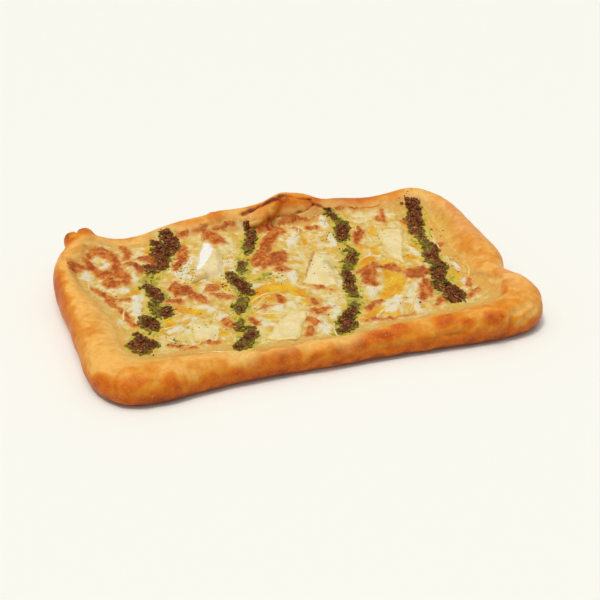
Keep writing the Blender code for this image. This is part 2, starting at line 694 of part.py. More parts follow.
def make_slice(name, corners, thickness, prop, under, collection):
    """A bevelled slab between four corners that follows what lies under it."""
    surfaces = [surface_of(obj) for obj in under]
    first, second, third, fourth = (Vector(corner) for corner in corners)
    bm = bmesh.new()
    bmesh.ops.create_grid(bm, x_segments=SLICE_SEGMENTS[0], y_segments=SLICE_SEGMENTS[1], size=1.0)
    top = list(bm.faces)
    lower = [vert for vert in bm.verts]
    extruded = bmesh.ops.extrude_face_region(bm, geom=top)["geom"]
    upper = [item for item in extruded if isinstance(item, bmesh.types.BMVert)]
    for verts, rise in ((lower, -SLICE_SINK), (upper, thickness)):
        for vert in verts:
            across = 0.5 + 0.5 * vert.co.x
            back = 0.5 + 0.5 * vert.co.y
            place = fourth.lerp(third, across).lerp(first.lerp(second, across), back)
            lean = prop * smooth_step(1.0 - across) if rise > 0.0 else 0.0
            vert.co = Vector((place.x, place.y, height_at(surfaces, place.x, place.y) + rise + lean))
    bmesh.ops.recalc_face_normals(bm, faces=bm.faces)
    upper_set = set(upper)
    rim = [edge for edge in bm.edges
           if all(vert in upper_set for vert in edge.verts)
           and any(vert not in upper_set for face in edge.link_faces for vert in face.verts)]
    bmesh.ops.bevel(bm, geom=rim, offset=SLICE_BEVEL, segments=2, profile=0.5, affect="EDGES")
    piece = new_object(name, bm, collection)
    for obj in under:
        cut_clear(piece, obj)
    keep_largest_piece(piece)
    finish(piece, new_material(name, SLICE_COLOUR, SLICE_ROUGHNESS))
    return piece


# ---------------------------------------------------------------- whole

def centre_on_base(objects):
    """Move the whole so that its bounding box stands with its bottom middle at the origin."""
    corners = [vert.co for obj in objects for vert in obj.data.vertices]
    low = Vector([min(corner[axis] for corner in corners) for axis in range(3)])
    high = Vector([max(corner[axis] for corner in corners) for axis in range(3)])
    shift = Matrix.Translation((-0.5 * (low.x + high.x), -0.5 * (low.y + high.y), -low.z))
    for obj in objects:
        obj.data.transform(shift)


def main():
    clear_scene()
    collection = new_collection("roman_style_pizza")
    crust, dough = make_crust(collection)
    cheese = make_melted_cheese(crust, dough, collection)
    slices = [make_slice(name, *design, (crust, cheese), collection) for name, design in SLICES.items()]
    centre_on_base([crust, cheese, *slices])


main()
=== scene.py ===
import math
import random

import bmesh
import bpy
import numpy as np
from mathutils import Matrix, Vector, noise
from mathutils.bvhtree import BVHTree


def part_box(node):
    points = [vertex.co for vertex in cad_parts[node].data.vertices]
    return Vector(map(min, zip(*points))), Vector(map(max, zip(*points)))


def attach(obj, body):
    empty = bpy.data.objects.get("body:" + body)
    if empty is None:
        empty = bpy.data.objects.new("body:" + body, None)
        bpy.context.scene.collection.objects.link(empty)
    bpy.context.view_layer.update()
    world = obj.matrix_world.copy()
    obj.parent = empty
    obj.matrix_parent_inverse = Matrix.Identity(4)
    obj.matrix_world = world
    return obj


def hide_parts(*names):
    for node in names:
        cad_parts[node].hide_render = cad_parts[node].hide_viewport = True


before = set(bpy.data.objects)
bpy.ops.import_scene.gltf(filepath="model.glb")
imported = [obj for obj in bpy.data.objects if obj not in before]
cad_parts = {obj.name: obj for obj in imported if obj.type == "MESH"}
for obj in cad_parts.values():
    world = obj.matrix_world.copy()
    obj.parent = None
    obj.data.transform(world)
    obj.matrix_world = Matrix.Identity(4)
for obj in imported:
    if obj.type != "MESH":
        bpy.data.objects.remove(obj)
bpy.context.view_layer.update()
bpy.context.scene.view_settings.view_transform = "Standard"
noise.seed_set(4)               # the noise vectors below then come out alike in every run

# ---------------------------------------------------------------- the dough
# A rectangle of wet wheat dough, stretched by hand and baked in a hot oven. Its rim swelled
# into a taut skin, golden and browned in patches, oily where the topping bubbled against it.

DOUGH_VOXEL = 0.00125
DOUGH_SMOOTHING = 9
DOUGH_TAUTENING = 40            # further smoothing, but not at the ear and the fold
DOUGH_SWELL = 0.0004            # what the smoothing took, given back
OIL_REACH = 0.017               # how far from the topping the skin is oily
DOUGH_CRISP = ((-128, 86, 24, 16, 12, 14, 0, 1.0), (12, 80, 28, 40, 12, 14, 0, 1.0))

# Creases of the dough in mm: places along it, half width, depth, and how pale or browned it is; a browned
# one darkens its groove, partly browned dough and partly painted shade
DOUGH_CREASES = (
    (((-94.5, -92.0, 18.5), (-93.0, -96.5, 13.0), (-92.5, -98.0, 5.0)), 1.6, 0.5, "pale"),
    (((104.0, -24.0), (113.0, -32.0), (120.0, -40.0), (127.0, -55.0), (134.0, -60.0)), 2.2, 1.0,
     "pale"),
    (((-126.6, 79.0, 20.0), (-127.4, 84.5, 24.0), (-126.5, 90.5, 21.0)), 2.2, 1.4, "pale"),
    (((-12.0, 83.5, 24.0), (-7.3, 82.4, 25.5), (-0.4, 82.9, 26.7), (3.7, 79.5, 30.0),
      (10.3, 80.9, 32.4), (15.7, 83.9, 33.5), (21.2, 86.9, 33.8)), 2.2, 0.8, "browned"),
    (((25.0, 86.0, 32.0), (34.6, 86.0, 29.2), (42.0, 86.5, 27.0)), 1.2, 0.5, "browned"),
    (((-7.3, 71.5, 24.2), (-1.2, 69.8, 25.6), (4.4, 71.2, 25.0), (8.0, 74.5, 23.0), (11.5, 77.6, 21.0),
      (16.1, 77.9, 21.9), (34.7, 79.0, 21.9), (38.9, 80.2, 23.1),
      (42.6, 82.3, 24.9)), 1.6, 0.5, "browned"),
    (((-139.0, 66.0), (-129.0, 73.0), (-117.0, 77.5)), 1.8, 0.5, "pale"),
    (((-138.0, 58.0), (-128.0, 66.0), (-120.0, 71.0)), 1.6, 0.4, "pale"),
    (((114.0, -91.5, 18.0), (120.0, -91.0, 18.5), (128.0, -87.0, 19.5)), 1.8, 0.7, "pale"),
    (((118.0, -95.5, 12.0), (126.0, -93.0, 14.0), (132.0, -88.0, 16.0)), 2.0, 0.7, "pale"),
    (((137.0, -38.0, 20.0), (143.0, -41.0, 14.0), (144.0, -42.0, 6.0)), 2.4, 0.9, "pale"),
    (((-17.5, -93.0, 7.5), (-11.5, -93.5, 11.5), (-4.3, -94.0, 13.2), (4.0, -93.5, 11.5)), 2.6, 1.3,
     "plain"),
    (((58.0, -94.0, 8.0), (66.0, -94.0, 11.0), (74.0, -94.5, 12.0), (84.0, -95.0, 12.3)), 2.8, 1.4,
     "plain"),
    (((109.0, -95.5, 6.0), (112.0, -95.5, 10.5), (114.0, -94.5, 14.5), (118.0, -91.8, 18.5)), 3.0,
     0.9, "plain"),
    (((26.0, -92.5, 9.0), (38.0, -93.0, 10.0), (48.0, -93.5, 9.0)), 2.6, 0.8, "plain"),
)

# Browned and charred places of the dough in mm: middle, half sizes, turn and strength
DOUGH_BROWNED = (
    (-147, 26, 14, 8, 26, 12, 0, 0.95), (-145, 0, 14, 8, 20, 9, 0, 0.85),
    (-145, -26, 12, 6, 15, 7, 0, 0.8), (-99, -97, 11, 8, 6, 8, 0, 0.95),
    (-73, -94, 8, 14, 6, 5, 0, 0.85), (-59, -93, 10, 12, 6, 5, 0, 0.9),
    (-45, -91, 14, 9, 6, 5, 0, 0.9),
    (-34, -91, 15, 10, 7, 6, 0, 1.0), (-27, -89, 15, 6, 5, 5, 0, 0.95),
    (3, -92, 14, 7, 5, 5, 0, 1.0),
    (17, -91, 14, 9, 6, 5, 0, 0.95), (33, -89, 16, 13, 6.5, 6, 0, 1.05),
    (42, -85, 18, 6, 5, 4, 0, 0.9),
    (72, -89, 19, 9, 5.5, 5, 0, 1.05), (83, -92, 17, 7, 5, 4, 0, 0.85),
    (102, -95, 19, 6.5, 6, 6, 0, 1.05),
    (20, -94, 5, 30, 6, 4.5, 0, 0.8), (128, -93, 10, 14, 7, 6, 0, 0.65),
    (-132, -93, 12, 5, 8, 4, 0, 0.55),
    (-116, -97, 10, 6, 6, 4, 0, 0.6), (-120, -84, 18, 8, 4, 5, 0, 0.55),
    (14, 82, 31, 16, 4, 4, 12, 0.95), (2, 82.5, 28, 10, 4, 4, 0, 0.9),
    (24, 81, 27, 18, 5, 5, 0, 0.7), (-30, 84, 26, 8, 6, 4, 0, 0.6),
    (139, 46, 22, 5, 18, 6, 0, 0.45),
    (-100, 84, 20, 14, 5, 5, 0, 0.55), (146, -50, 14, 6, 10, 7, 0, 0.7),
    (140, -72, 18, 6, 5, 5, 0, 0.75),
    (134, 66, 22, 6, 8, 5, 0, 0.5), (-136, -40, 21, 5, 8, 4, 0, 0.5),
    (56, -93, 11, 10, 5, 5, 0, 0.8),
    (-12, -94, 12, 8, 5, 4, 0, 0.7), (112, -88, 20, 5, 4, 4, 0, 0.8),
    (66, 86, 25, 44, 8, 7, 0, 0.85), (-138, -82, 8, 10, 14, 8, 0, 0.9),
    (-128, -94, 7, 10, 6, 7, 0, 0.85), (-124, -93, 14, 12, 7, 6, 0, 0.85),
    (2, 70.5, 25, 12, 4, 6, 0, 0.75), (38, 79.5, 21, 10, 3, 5, 0, 0.6),
    (44, 79.5, 21, 9, 4, 5, -20, 1.05), (-60, 86, 22, 22, 6, 4, 0, 0.5),
    (-132, 82, 22, 7, 7, 8, 0, 0.8), (-123, 84, 24, 7, 5, 6, 0, 0.8),
    (127, -54, 20, 4, 9, 6, 20, 0.7),
    (122, -67, 20, 2, 5, 5, 10, 0.7), (-128, -3, 19, 5, 12, 6, 10, 0.4),
    (-84, 96, 13, 18, 5, 7, 0, 0.8), (-8, 97, 16, 14, 5, 8, 0, 0.75),
    (92, 95, 12, 20, 6, 7, 0, 0.8), (40, 96, 8, 14, 5, 5, 0, 0.7), (147, 20, 12, 5, 14, 7, 0, 0.75),
    (-146, -62, 12, 5, 14, 7, 0, 0.7),
)
DOUGH_CHARRED = (
    (-132, 85, 24, 4, 5, 4.5, 35, 0.85), (-123, 87, 25.5, 4.5, 4, 3.5, 15, 0.85),
    (-128, 84, 23, 3, 4, 3, 0, 0.6),
    (43, 86, 25.5, 3.5, 2.6, 2.6, -25, 0.9), (47, 83.5, 23.5, 4, 2.6, 3, -30, 1.0),
    (51, 81, 21.5, 3.5, 2.6, 3, -30, 1.0), (21, 87, 33, 4, 2, 2, 0, 0.6),
    # These two lie along the fold's crease and darken its groove, partly as painted shade
    (-4, 82.6, 26, 7, 2.2, 2.4, 4, 0.6), (12, 81.5, 32.4, 8, 2.4, 2.4, 25, 0.65),
    (-40, 79.5, 21, 9, 2, 3, 8, 0.55), (-56, 78.5, 19, 4, 2.2, 3, 0, 0.55),
    (104, -94.5, 17, 4.5, 3.5, 3.5, 0, 0.5), (104, -95, 18, 3.6, 2.6, 3, 0, 0.6),
)

# Places of the dough that took green oil from the sauce, rosy ones, and tops of the rim painted paler as
# a painted highlight
DOUGH_HERB_OIL = (
    (127, 46, 16, 10, 18, 12, 0, 0.75), (121, 24, 14, 10, 20, 12, 0, 0.65),
    (118, 0, 12, 8, 14, 10, 0, 0.45),
    (118, 70, 18, 10, 9, 10, 0, 0.6), (-76, 81, 19, 10, 4, 7, 0, 0.5),
    (-112, -52, 17, 8, 10, 8, 0, 0.5),
)
DOUGH_ROSY = (
    (141, 34, 22, 12, 44, 14, 0, 1.0), (142, -56, 20, 16, 20, 12, 0, 0.9), (80, 93, 22, 50, 8, 8, 0, 0.6),
)
DOUGH_LIT_TOPS = (
    (-137, 8, 25, 8, 40, 8, 0, 1.0), (-128, -60, 20, 14, 26, 6, 0, 0.9), (-60, -80, 20, 30, 6, 5, 0, 0.8),
)


def ease(values):
    """Smooth step from 0 to 1."""
    kept = np.clip(values, 0.0, 1.0)
    return kept * kept * (3.0 - 2.0 * kept)


def new_piece(name, bm):
    """A piece of the scene from a finished bmesh."""
    mesh = bpy.data.meshes.new(name)
    bm.to_mesh(mesh)
    bm.free()
    piece = bpy.data.objects.new(name, mesh)
    bpy.context.scene.collection.objects.link(piece)
    return piece


def merged_node(name):
    """A bmesh of a solid's triangles, joined into one skin."""
    bm = bmesh.new()
    bm.from_mesh(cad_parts[name].data)
    bmesh.ops.remove_doubles(bm, verts=bm.verts, dist=1e-6)
    return bm


def regrown(piece, voxel, rounds=0):
    """Give a piece an even skin of small faces, rounded first by subdivision where asked."""
    if rounds:
        rounder = piece.modifiers.new("rounder", "SUBSURF")
        rounder.levels = rounder.render_levels = rounds
    skin = piece.modifiers.new("skin", "REMESH")
    skin.mode, skin.voxel_size = "VOXEL", voxel
    mesh = bpy.data.meshes.new_from_object(piece.evaluated_get(bpy.context.evaluated_depsgraph_get()))
    piece.modifiers.clear()
    piece.data = mesh


def smoothed(mesh, times, share=0.5):
    """Draw each point to the middle of its neighbours again and again."""
    bm = bmesh.new()
    bm.from_mesh(mesh)
    for _ in range(times):
        bmesh.ops.smooth_vert(
            bm, verts=bm.verts, factor=share, use_axis_x=True, use_axis_y=True, use_axis_z=True)
    bm.to_mesh(mesh)
    bm.free()


def rows_of(mesh, source="vertices", field="co"):
    """The places of a mesh's points, or their normals, as rows."""
    rows = np.empty(3 * len(mesh.vertices))
    getattr(mesh, source).foreach_get(field, rows)
    return rows.reshape(-1, 3)


def normals_of(mesh):
    return rows_of(mesh, "vertex_normals", "vector")


def ripple(rows, size, octaves=2, start=0.0):
    """Smooth noise at each point, about -1 to 1, with waves of the given size."""
    offset = Vector((start, 1.7 * start, -start))
    return np.array([noise.fractal(Vector(row) / size + offset, 0.9, 2.1, octaves) for row in rows])


def stray(rows, size, reach):
    """The points moved a little by noise, so that what is laid by them has wandering edges."""
    return rows + reach * np.array([noise.noise_vector(Vector(row) / size) for row in rows])


def spread(rows, spots, soft=0.32):
    """How much each point lies in the spots, whose rows give middle, half sizes, turn and strength."""
    share = np.zeros(len(rows))
    for spot in spots:
        axes = len(spot) // 2 - 1
        turn = math.radians(spot[-2])
        away = 1000.0 * rows[:, :axes] - spot[:axes]
        turned = away.copy()
        turned[:, 0] = math.cos(turn) * away[:, 0] + math.sin(turn) * away[:, 1]
        turned[:, 1] = math.cos(turn) * away[:, 1] - math.sin(turn) * away[:, 0]
        reach = np.sqrt(((turned / spot[axes:2 * axes]) ** 2).sum(axis=1))
        share = np.maximum(share, spot[-1] * ease((1.0 + soft - reach) / (2.0 * soft)))
    return share


def distance_to(rows, places):
    """Distance in mm of each point to a line through places."""
    axes = len(places[0])
    here = 1000.0 * rows[:, :axes]
    nearest = np.full(len(rows), np.inf)
    for start, end in zip(places, places[1:]):
        start, along = np.array(start), np.array(end) - np.array(start)
        share = np.clip((here - start) @ along / (along @ along), 0.0, 1.0)
        nearest = np.minimum(nearest, np.linalg.norm(here - start - share[:, None] * along, axis=1))
    return nearest


def depth_in(rows, ribbons):
    """How many mm each point lies inside ribbons whose places give x, y and half width."""
    here = 1000.0 * rows[:, :2]
    deepest = np.full(len(rows), -np.inf)
    for ribbon in ribbons:
        for start, end in zip(ribbon, ribbon[1:] or ribbon):
            start, along = np.array(start), np.array(end) - np.array(start)
            share = np.clip((here - start[:2]) @ along[:2] / max(along[:2] @ along[:2], 1e-9), 0.0, 1.0)
            away = np.linalg.norm(here - start[:2] - share[:, None] * along[:2], axis=1)
            deepest = np.maximum(deepest, start[2] + share * along[2] - away)
    return deepest


def poured(bm, other):
    """Add a finished bmesh to another."""
    passing = bpy.data.meshes.new("passing")
    other.to_mesh(passing)
    other.free()
    bm.from_mesh(passing)
    bpy.data.meshes.remove(passing)


def tree_of(*meshes):
    """The surfaces of the meshes, for dropping points on to them."""
    bm = bmesh.new()
    for mesh in meshes:
        bm.from_mesh(mesh)
    tree = BVHTree.FromBMesh(bm)
    bm.free()
    return tree


def keep_on_points(mesh, **values):
    """Keep numbers on a mesh's points, for its material."""
    for name, numbers in values.items():
        kept = mesh.attributes.new(name, "FLOAT", "POINT")
        kept.data.foreach_set("value", np.clip(numbers, 0.0, 1.0).astype(np.float32))


dough = new_piece("crust_dough", merged_node("crust"))
regrown(dough, DOUGH_VOXEL, rounds=1)
smoothed(dough.data, DOUGH_SMOOTHING)
crisp = rows_of(dough.data)
smoothed(dough.data, DOUGH_TAUTENING)
rows = rows_of(dough.data)
rows += spread(crisp, DOUGH_CRISP, 0.5)[:, None] * (crisp - rows)
dough.data.vertices.foreach_set("co", rows.ravel())
dough.data.update()
facing = normals_of(dough.data)
wandering = stray(rows, 0.009, 0.0016)
rise = DOUGH_SWELL + 0.00045 * ripple(rows, 0.024, 2) + 0.00016 * ripple(rows, 0.0075, 2, 4.0)
rise += 0.00006 * ripple(rows, 0.0028, 2, 6.0) + 0.0009 * spread(wandering, DOUGH_BROWNED, 0.9)

# Blisters stand where some of the cells of a coarse foam lie near the skin
blister = np.zeros(len(rows))
for index, row in enumerate(rows):
    nearest, places = noise.voronoi(Vector(row) / 0.012)
    if noise.noise(3.1 * places[0]) > 0.22:
        blister[index] = max(0.0, 1.0 - (nearest[0] / 0.30) ** 2) ** 2
rise += 0.0007 * blister

pale = np.zeros(len(rows))
seam_brown_and_shade = np.zeros(len(rows))
for places, half_width, depth, look in DOUGH_CREASES:
    away = distance_to(wandering, places) / half_width
    groove = np.clip(1.0 - away ** 2, 0.0, 1.0) ** 2
    shoulder = np.clip(1.0 - (away - 1.5) ** 2 / 0.6, 0.0, 1.0) ** 2
    rise += 0.001 * depth * (0.35 * shoulder - groove)
    if look == "pale":
        pale = np.maximum(pale, min(1.0, depth) * np.clip(1.0 - (away / 1.6) ** 2, 0.0, 1.0))
    # Browned creases: their groove is darkened, partly browned dough and partly painted shade
    if look == "browned":
        seam_brown_and_shade = np.maximum(seam_brown_and_shade, np.clip(1.0 - away ** 2, 0.0, 1.0))

# The skin is oily and pale near the topping where it faces up
topping = tree_of(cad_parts["melted_cheese"].data)
oiled = np.array([topping.find_nearest(Vector(row))[3] for row in rows])
oiled = ease(1.0 - oiled / OIL_REACH) * ease((facing[:, 2] + 0.1) / 0.5)
flat_base = ease((0.0015 - rows[:, 2]) / 0.0010)
rows += (rise * (1.0 - flat_base))[:, None] * facing
dough.data.vertices.foreach_set("co", rows.ravel())

wall = ease((0.55 - facing[:, 2]) / 0.7)
# Painted shade: the foot of the walls that face the front, and half as much of the side walls, is browned
# and darkened towards the floor as if shaded
low = ease((0.015 - rows[:, 2]) / 0.012) * ease((0.2 - facing[:, 1]) / 0.4)
browned = 0.24 + 0.26 * ripple(wandering, 0.034, 3, 9.0) + 0.26 * wall + 0.35 * low - 0.30 * oiled
patchy = stray(rows, 0.011, 0.0034)
spots = 0.92 * spread(patchy, DOUGH_BROWNED, 0.85) + 0.18 * ripple(rows, 0.010, 3, 2.0)
browned = np.maximum(browned, spots)
# The rim's lit tops are lightened as a painted highlight, and browned creases darkened partly as painted
# shade
browned += 0.25 * blister + 0.5 * seam_brown_and_shade - 0.5 * pale - 0.45 * spread(patchy, DOUGH_LIT_TOPS, 0.7)
# The browned and charred numbers also carry painted shade: at the foot of the front walls and in the
# grooves of the browned creases
keep_on_points(
    dough.data,
    browned=browned,
    charred=spread(patchy, DOUGH_CHARRED, 0.55) + 0.70 * seam_brown_and_shade + 0.60 * low ** 3,
    pale=pale,
    oiled=oiled,
    herb_oil=spread(patchy, DOUGH_HERB_OIL, 0.7),
    rosy=spread(patchy, DOUGH_ROSY, 0.7),
    underside=ease((0.0012 - rows[:, 2]) / 0.0008),
)


def tone(code):
    """Linear colour of a screen colour."""
    parts = [int(code[place:place + 2], 16) / 255.0 for place in (0, 2, 4)]
    linear = (part / 12.92 if part < 0.04045 else ((part + 0.055) / 1.055) ** 2.4 for part in parts)
    return (*linear, 1.0)


class Recipe:
    """A material or shader group under construction, with short ways to add nodes to it."""

    def __init__(self, tree):
        self.tree = tree

    def add(self, kind, inputs=None, **settings):
        made = self.tree.nodes.new("ShaderNode" + kind)
        for name, value in settings.items():
            setattr(made, name, value)
        for name, value in (inputs or {}).items():
            if isinstance(value, bpy.types.NodeSocket):
                self.tree.links.new(value, made.inputs[name])
            else:
                made.inputs[name].default_value = value
        return made

    def kept(self, name):
        return self.add("Attribute", attribute_name=name).outputs["Fac"]

    def math(self, operation, first, second):
        return self.add("Math", {0: first, 1: second}, operation=operation).outputs[0]

    def band(self, value, low, high, to_low=0.0, to_high=1.0):
        """The value from low to high, taken smoothly to the other two numbers."""
        inputs = {"Value": value, "From Min": low, "From Max": high,
                  "To Min": to_low, "To Max": to_high}
        return self.add("MapRange", inputs, interpolation_type="SMOOTHSTEP").outputs["Result"]

    def mixed(self, share, first, second, way="MIX"):
        inputs = {0: share, 6: first, 7: second}
        return self.add("Mix", inputs, data_type="RGBA", blend_type=way).outputs[2]

    def grain(self, scale, detail=4.0, roughness=0.55):
        inputs = {"Scale": scale, "Detail": detail, "Roughness": roughness,
                  "Vector": self.add("TexCoord").outputs["Object"]}
        return self.add("TexNoise", inputs).outputs["Fac"]

    def uneven(self, name, grain, reach=0.25):
        """A number kept on the points, raised and lowered by a grain."""
        return self.math("ADD", self.kept(name), self.band(grain, 0.3, 0.7, -reach, reach))

    def tinted(self, colour, code, share, low, high, most=1.0):
        """The colour, taken to a screen colour where the share goes from low to high."""
        return self.mixed(self.band(share, low, high, 0.0, most), colour, tone(code))

    def group(self, tree, inputs):
        made = self.tree.nodes.new("ShaderNodeGroup")
        made.node_tree = tree
        for name, value in inputs.items():
            if isinstance(value, bpy.types.NodeSocket):
                self.tree.links.new(value, made.inputs[name])
            else:
                made.inputs[name].default_value = value
        return made.outputs


def new_material(name):
    """A material with its recipe and its own Principled shader."""
    material = bpy.data.materials.new(name)
    material.use_nodes = True
    return material, Recipe(material.node_tree), material.node_tree.nodes["Principled BSDF"]


def new_group(name, inputs, outputs):
    """An empty shader group with named inputs and outputs."""
    tree = bpy.data.node_groups.new(name, "ShaderNodeTree")
    for socket, kind in inputs:
        tree.interface.new_socket(socket, in_out="INPUT", socket_type=kind)
    for socket, kind in outputs:
        tree.interface.new_socket(socket, in_out="OUTPUT", socket_type=kind)
    given, put_out = tree.nodes.new("NodeGroupInput"), tree.nodes.new("NodeGroupOutput")
    return Recipe(tree), given.outputs, put_out.inputs


SHADER_INPUTS = {
    "coat": "Coat Weight", "coat_roughness": "Coat Roughness", "shine": "Specular IOR Level",
    "inner_light": "Subsurface Weight", "inner_reach": "Subsurface Scale",
}

# Food skin: a mottled tone and a fine uneven height, used by every material of the pizza
skin, given, put_out = new_group(
    "food_skin",
    (("Color", "NodeSocketColor"), ("Scale", "NodeSocketFloat"), ("Mottling", "NodeSocketFloat"),
     ("Depth", "NodeSocketFloat")),
    (("Color", "NodeSocketColor"), ("Height", "NodeSocketFloat")),
)
coarse = skin.grain(given["Scale"], 5.0, 0.6)
fine = skin.grain(skin.math("MULTIPLY", given["Scale"], 5.0), 3.0, 0.6)
darker = skin.mixed(given["Mottling"], given["Color"], (0.75, 0.60, 0.42, 1.0), "MULTIPLY")
mottled = skin.mixed(skin.band(coarse, 0.62, 0.30), given["Color"], darker)
skin.tree.links.new(mottled, put_out["Color"])
height = skin.math("MULTIPLY", skin.math("ADD", coarse, fine), given["Depth"])
skin.tree.links.new(height, put_out["Height"])


def finish_shader(recipe, shader, colour, skin_of, bump_depth, roughness, **settings):
    """Give a colour its food skin, as scale, mottling and depth, and join all to the shader."""
    inputs = {"Color": colour, **dict(zip(("Scale", "Mottling", "Depth"), skin_of))}
    skin_out = recipe.group(skin.tree, inputs)
    bump = recipe.add("Bump", {"Height": skin_out["Height"], "Distance": bump_depth})
    recipe.tree.links.new(skin_out["Color"], shader.inputs["Base Color"])
    recipe.tree.links.new(roughness, shader.inputs["Roughness"])
    recipe.tree.links.new(bump.outputs["Normal"], shader.inputs["Normal"])
    for name, value in settings.items():
        shader.inputs[SHADER_INPUTS[name]].default_value = value


crust_skin, recipe, shader = new_material("baked_crust")
mottle = recipe.grain(140.0, 5.0)
toast = recipe.uneven("browned", mottle, 0.13)
colour = recipe.mixed(recipe.band(toast, 0.0, 0.40), tone("F3B95E"), tone("E5922A"))
colour = recipe.tinted(colour, "D97018", toast, 0.34, 0.72)
colour = recipe.tinted(colour, "B8500F", toast, 0.68, 1.10)
colour = recipe.tinted(colour, "F0C26E", recipe.kept("oiled"), 0.05, 0.9, 0.85)
colour = recipe.tinted(colour, "F0C878", recipe.kept("pale"), 0.2, 1.0, 0.3)
near = recipe.uneven("rosy", mottle)
colour = recipe.tinted(colour, "F4BE86", near, 0.1, 1.1, 0.4)
near = recipe.uneven("herb_oil", mottle)
colour = recipe.tinted(colour, "DDC450", near, 0.2, 1.0, 0.45)
burnt_and_shaded = recipe.uneven("charred", mottle)
# Painted glints: fine pale dots on the browned skin stand for the shine of its oil
painted_sparkle = recipe.band(recipe.grain(1000.0, 2.0), 0.58, 0.70, 0.0, 0.42)
painted_sparkle = recipe.math("MULTIPLY", painted_sparkle, recipe.band(toast, 0.4, 0.8))
colour = recipe.mixed(painted_sparkle, colour, tone("F2B468"))
# The charred tones also paint shade at the foot of the front walls and in the grooves of the browned
# creases
colour = recipe.tinted(colour, "A2501E", burnt_and_shaded, 0.30, 0.70, 0.8)
colour = recipe.tinted(colour, "6B2E16", burnt_and_shaded, 0.65, 1.05)
floury = recipe.mixed(recipe.band(recipe.grain(60.0), 0.35, 0.65), tone("B97A3C"), tone("DDB27A"))
colour = recipe.mixed(recipe.kept("underside"), colour, floury)
finish_shader(
    recipe, shader, colour, (260.0, 0.5, 0.5), 0.0006, recipe.band(mottle, 0.3, 0.7, 0.46, 0.34),
    coat=0.03, coat_roughness=0.22, shine=0.10, inner_light=0.08, inner_reach=0.004,
)
dough.data.materials.append(crust_skin)
dough.data.shade_smooth()
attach(dough, "root")
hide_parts("crust")

# ---------------------------------------------------------------- the melted cheese
# Grated and sliced cheeses melted into one sheet over the dough, cream to yellow, with orange
# pools of hard cheese, milky ones of soft cheese, and bubbles that the oven browned.

CHEESE_CELL = 0.00085
CHEESE_MARGIN = 0.006          # how far the grid of the sheet reaches beyond the solid
CHEESE_FOOT = 0.0104           # the sheet is closed below at this height, inside the dough
CHEESE_FILL = 0.0026           # the most that it fills the corner between base and rim
CHEESE_SINK = 0.0026           # how deep its edge dives into the dough

HERB_STRIPES = (
    (
        (-0.1087, -0.0677, 0.0072), (-0.1067, -0.0517, 0.0060), (-0.0997, -0.0357, 0.0046),
        (-0.0927, -0.0197, 0.0050), (-0.0882, -0.0017, 0.0044), (-0.0917, 0.0123, 0.0040),
        (-0.0867, 0.0283, 0.0052), (-0.0767, 0.0463, 0.0046), (-0.0712, 0.0643, 0.0048),
        (-0.0657, 0.0813, 0.0042),
    ),
    (
        (-0.0547, -0.0827, 0.0040), (-0.0467, -0.0677, 0.0050), (-0.0457, -0.0517, 0.0036),
        (-0.0417, -0.0297, 0.0048), (-0.0347, -0.0127, 0.0040), (-0.0337, 0.0023, 0.0046),
        (-0.0257, 0.0183, 0.0036), (-0.0187, 0.0383, 0.0042), (-0.0107, 0.0563, 0.0044),
        (-0.0067, 0.0673, 0.0044), (-0.0037, 0.0763, 0.0038),
    ),
    (
        (0.0083, -0.0797, 0.0050), (0.0153, -0.0657, 0.0044), (0.0253, -0.0537, 0.0040),
        (0.0323, -0.0397, 0.0044), (0.0363, -0.0177, 0.0036), (0.0423, 0.0013, 0.0038),
        (0.0498, 0.0173, 0.0042), (0.0518, 0.0343, 0.0036), (0.0553, 0.0543, 0.0050),
        (0.0578, 0.0683, 0.0042), (0.0538, 0.0783, 0.0034),
    ),
    (
        (0.0923, -0.0627, 0.0062), (0.0893, -0.0457, 0.0054), (0.0973, -0.0287, 0.0056),
        (0.1008, -0.0107, 0.0052), (0.1028, 0.0083, 0.0044), (0.1038, 0.0273, 0.0044),
        (0.1093, 0.0423, 0.0048), (0.1143, 0.0563, 0.0052), (0.1193, 0.0693, 0.0046),
    ),
)

# Thin runs of the sheet up the rim in mm: middle, half sizes, turn and strength
CHEESE_RUNS = (
    (-134, 44, 9, 12, 10, 1.0), (-130, 28, 8, 12, 0, 1.0), (-124, 12, 8, 10, 0, 0.9),
    (-119, -6, 7, 12, 0, 0.9),
    (-122, 62, 8, 10, 0, 1.0), (-106, 74, 12, 4, 0, 1.0), (-112, -32, 6, 14, 0, 0.8),
    (-68, 77, 12, 5, 0, 1.0),
    (-48, 76, 12, 4, 0, 1.0), (-22, 76, 12, 4, 0, 1.0), (22, 75, 16, 3, 0, 0.9),
    (74, 77, 26, 4, 0, 0.9),
    (118, 72, 6, 6, 0, 0.8), (108, -46, 8, 10, 0, 0.8), (62, -71, 24, 5, 2, 1.0),
    (14, -78, 26, 5, 4, 1.0),
    (-36, -82, 22, 5, 2, 0.9), (-78, -76, 20, 4, 0, 0.7),
)

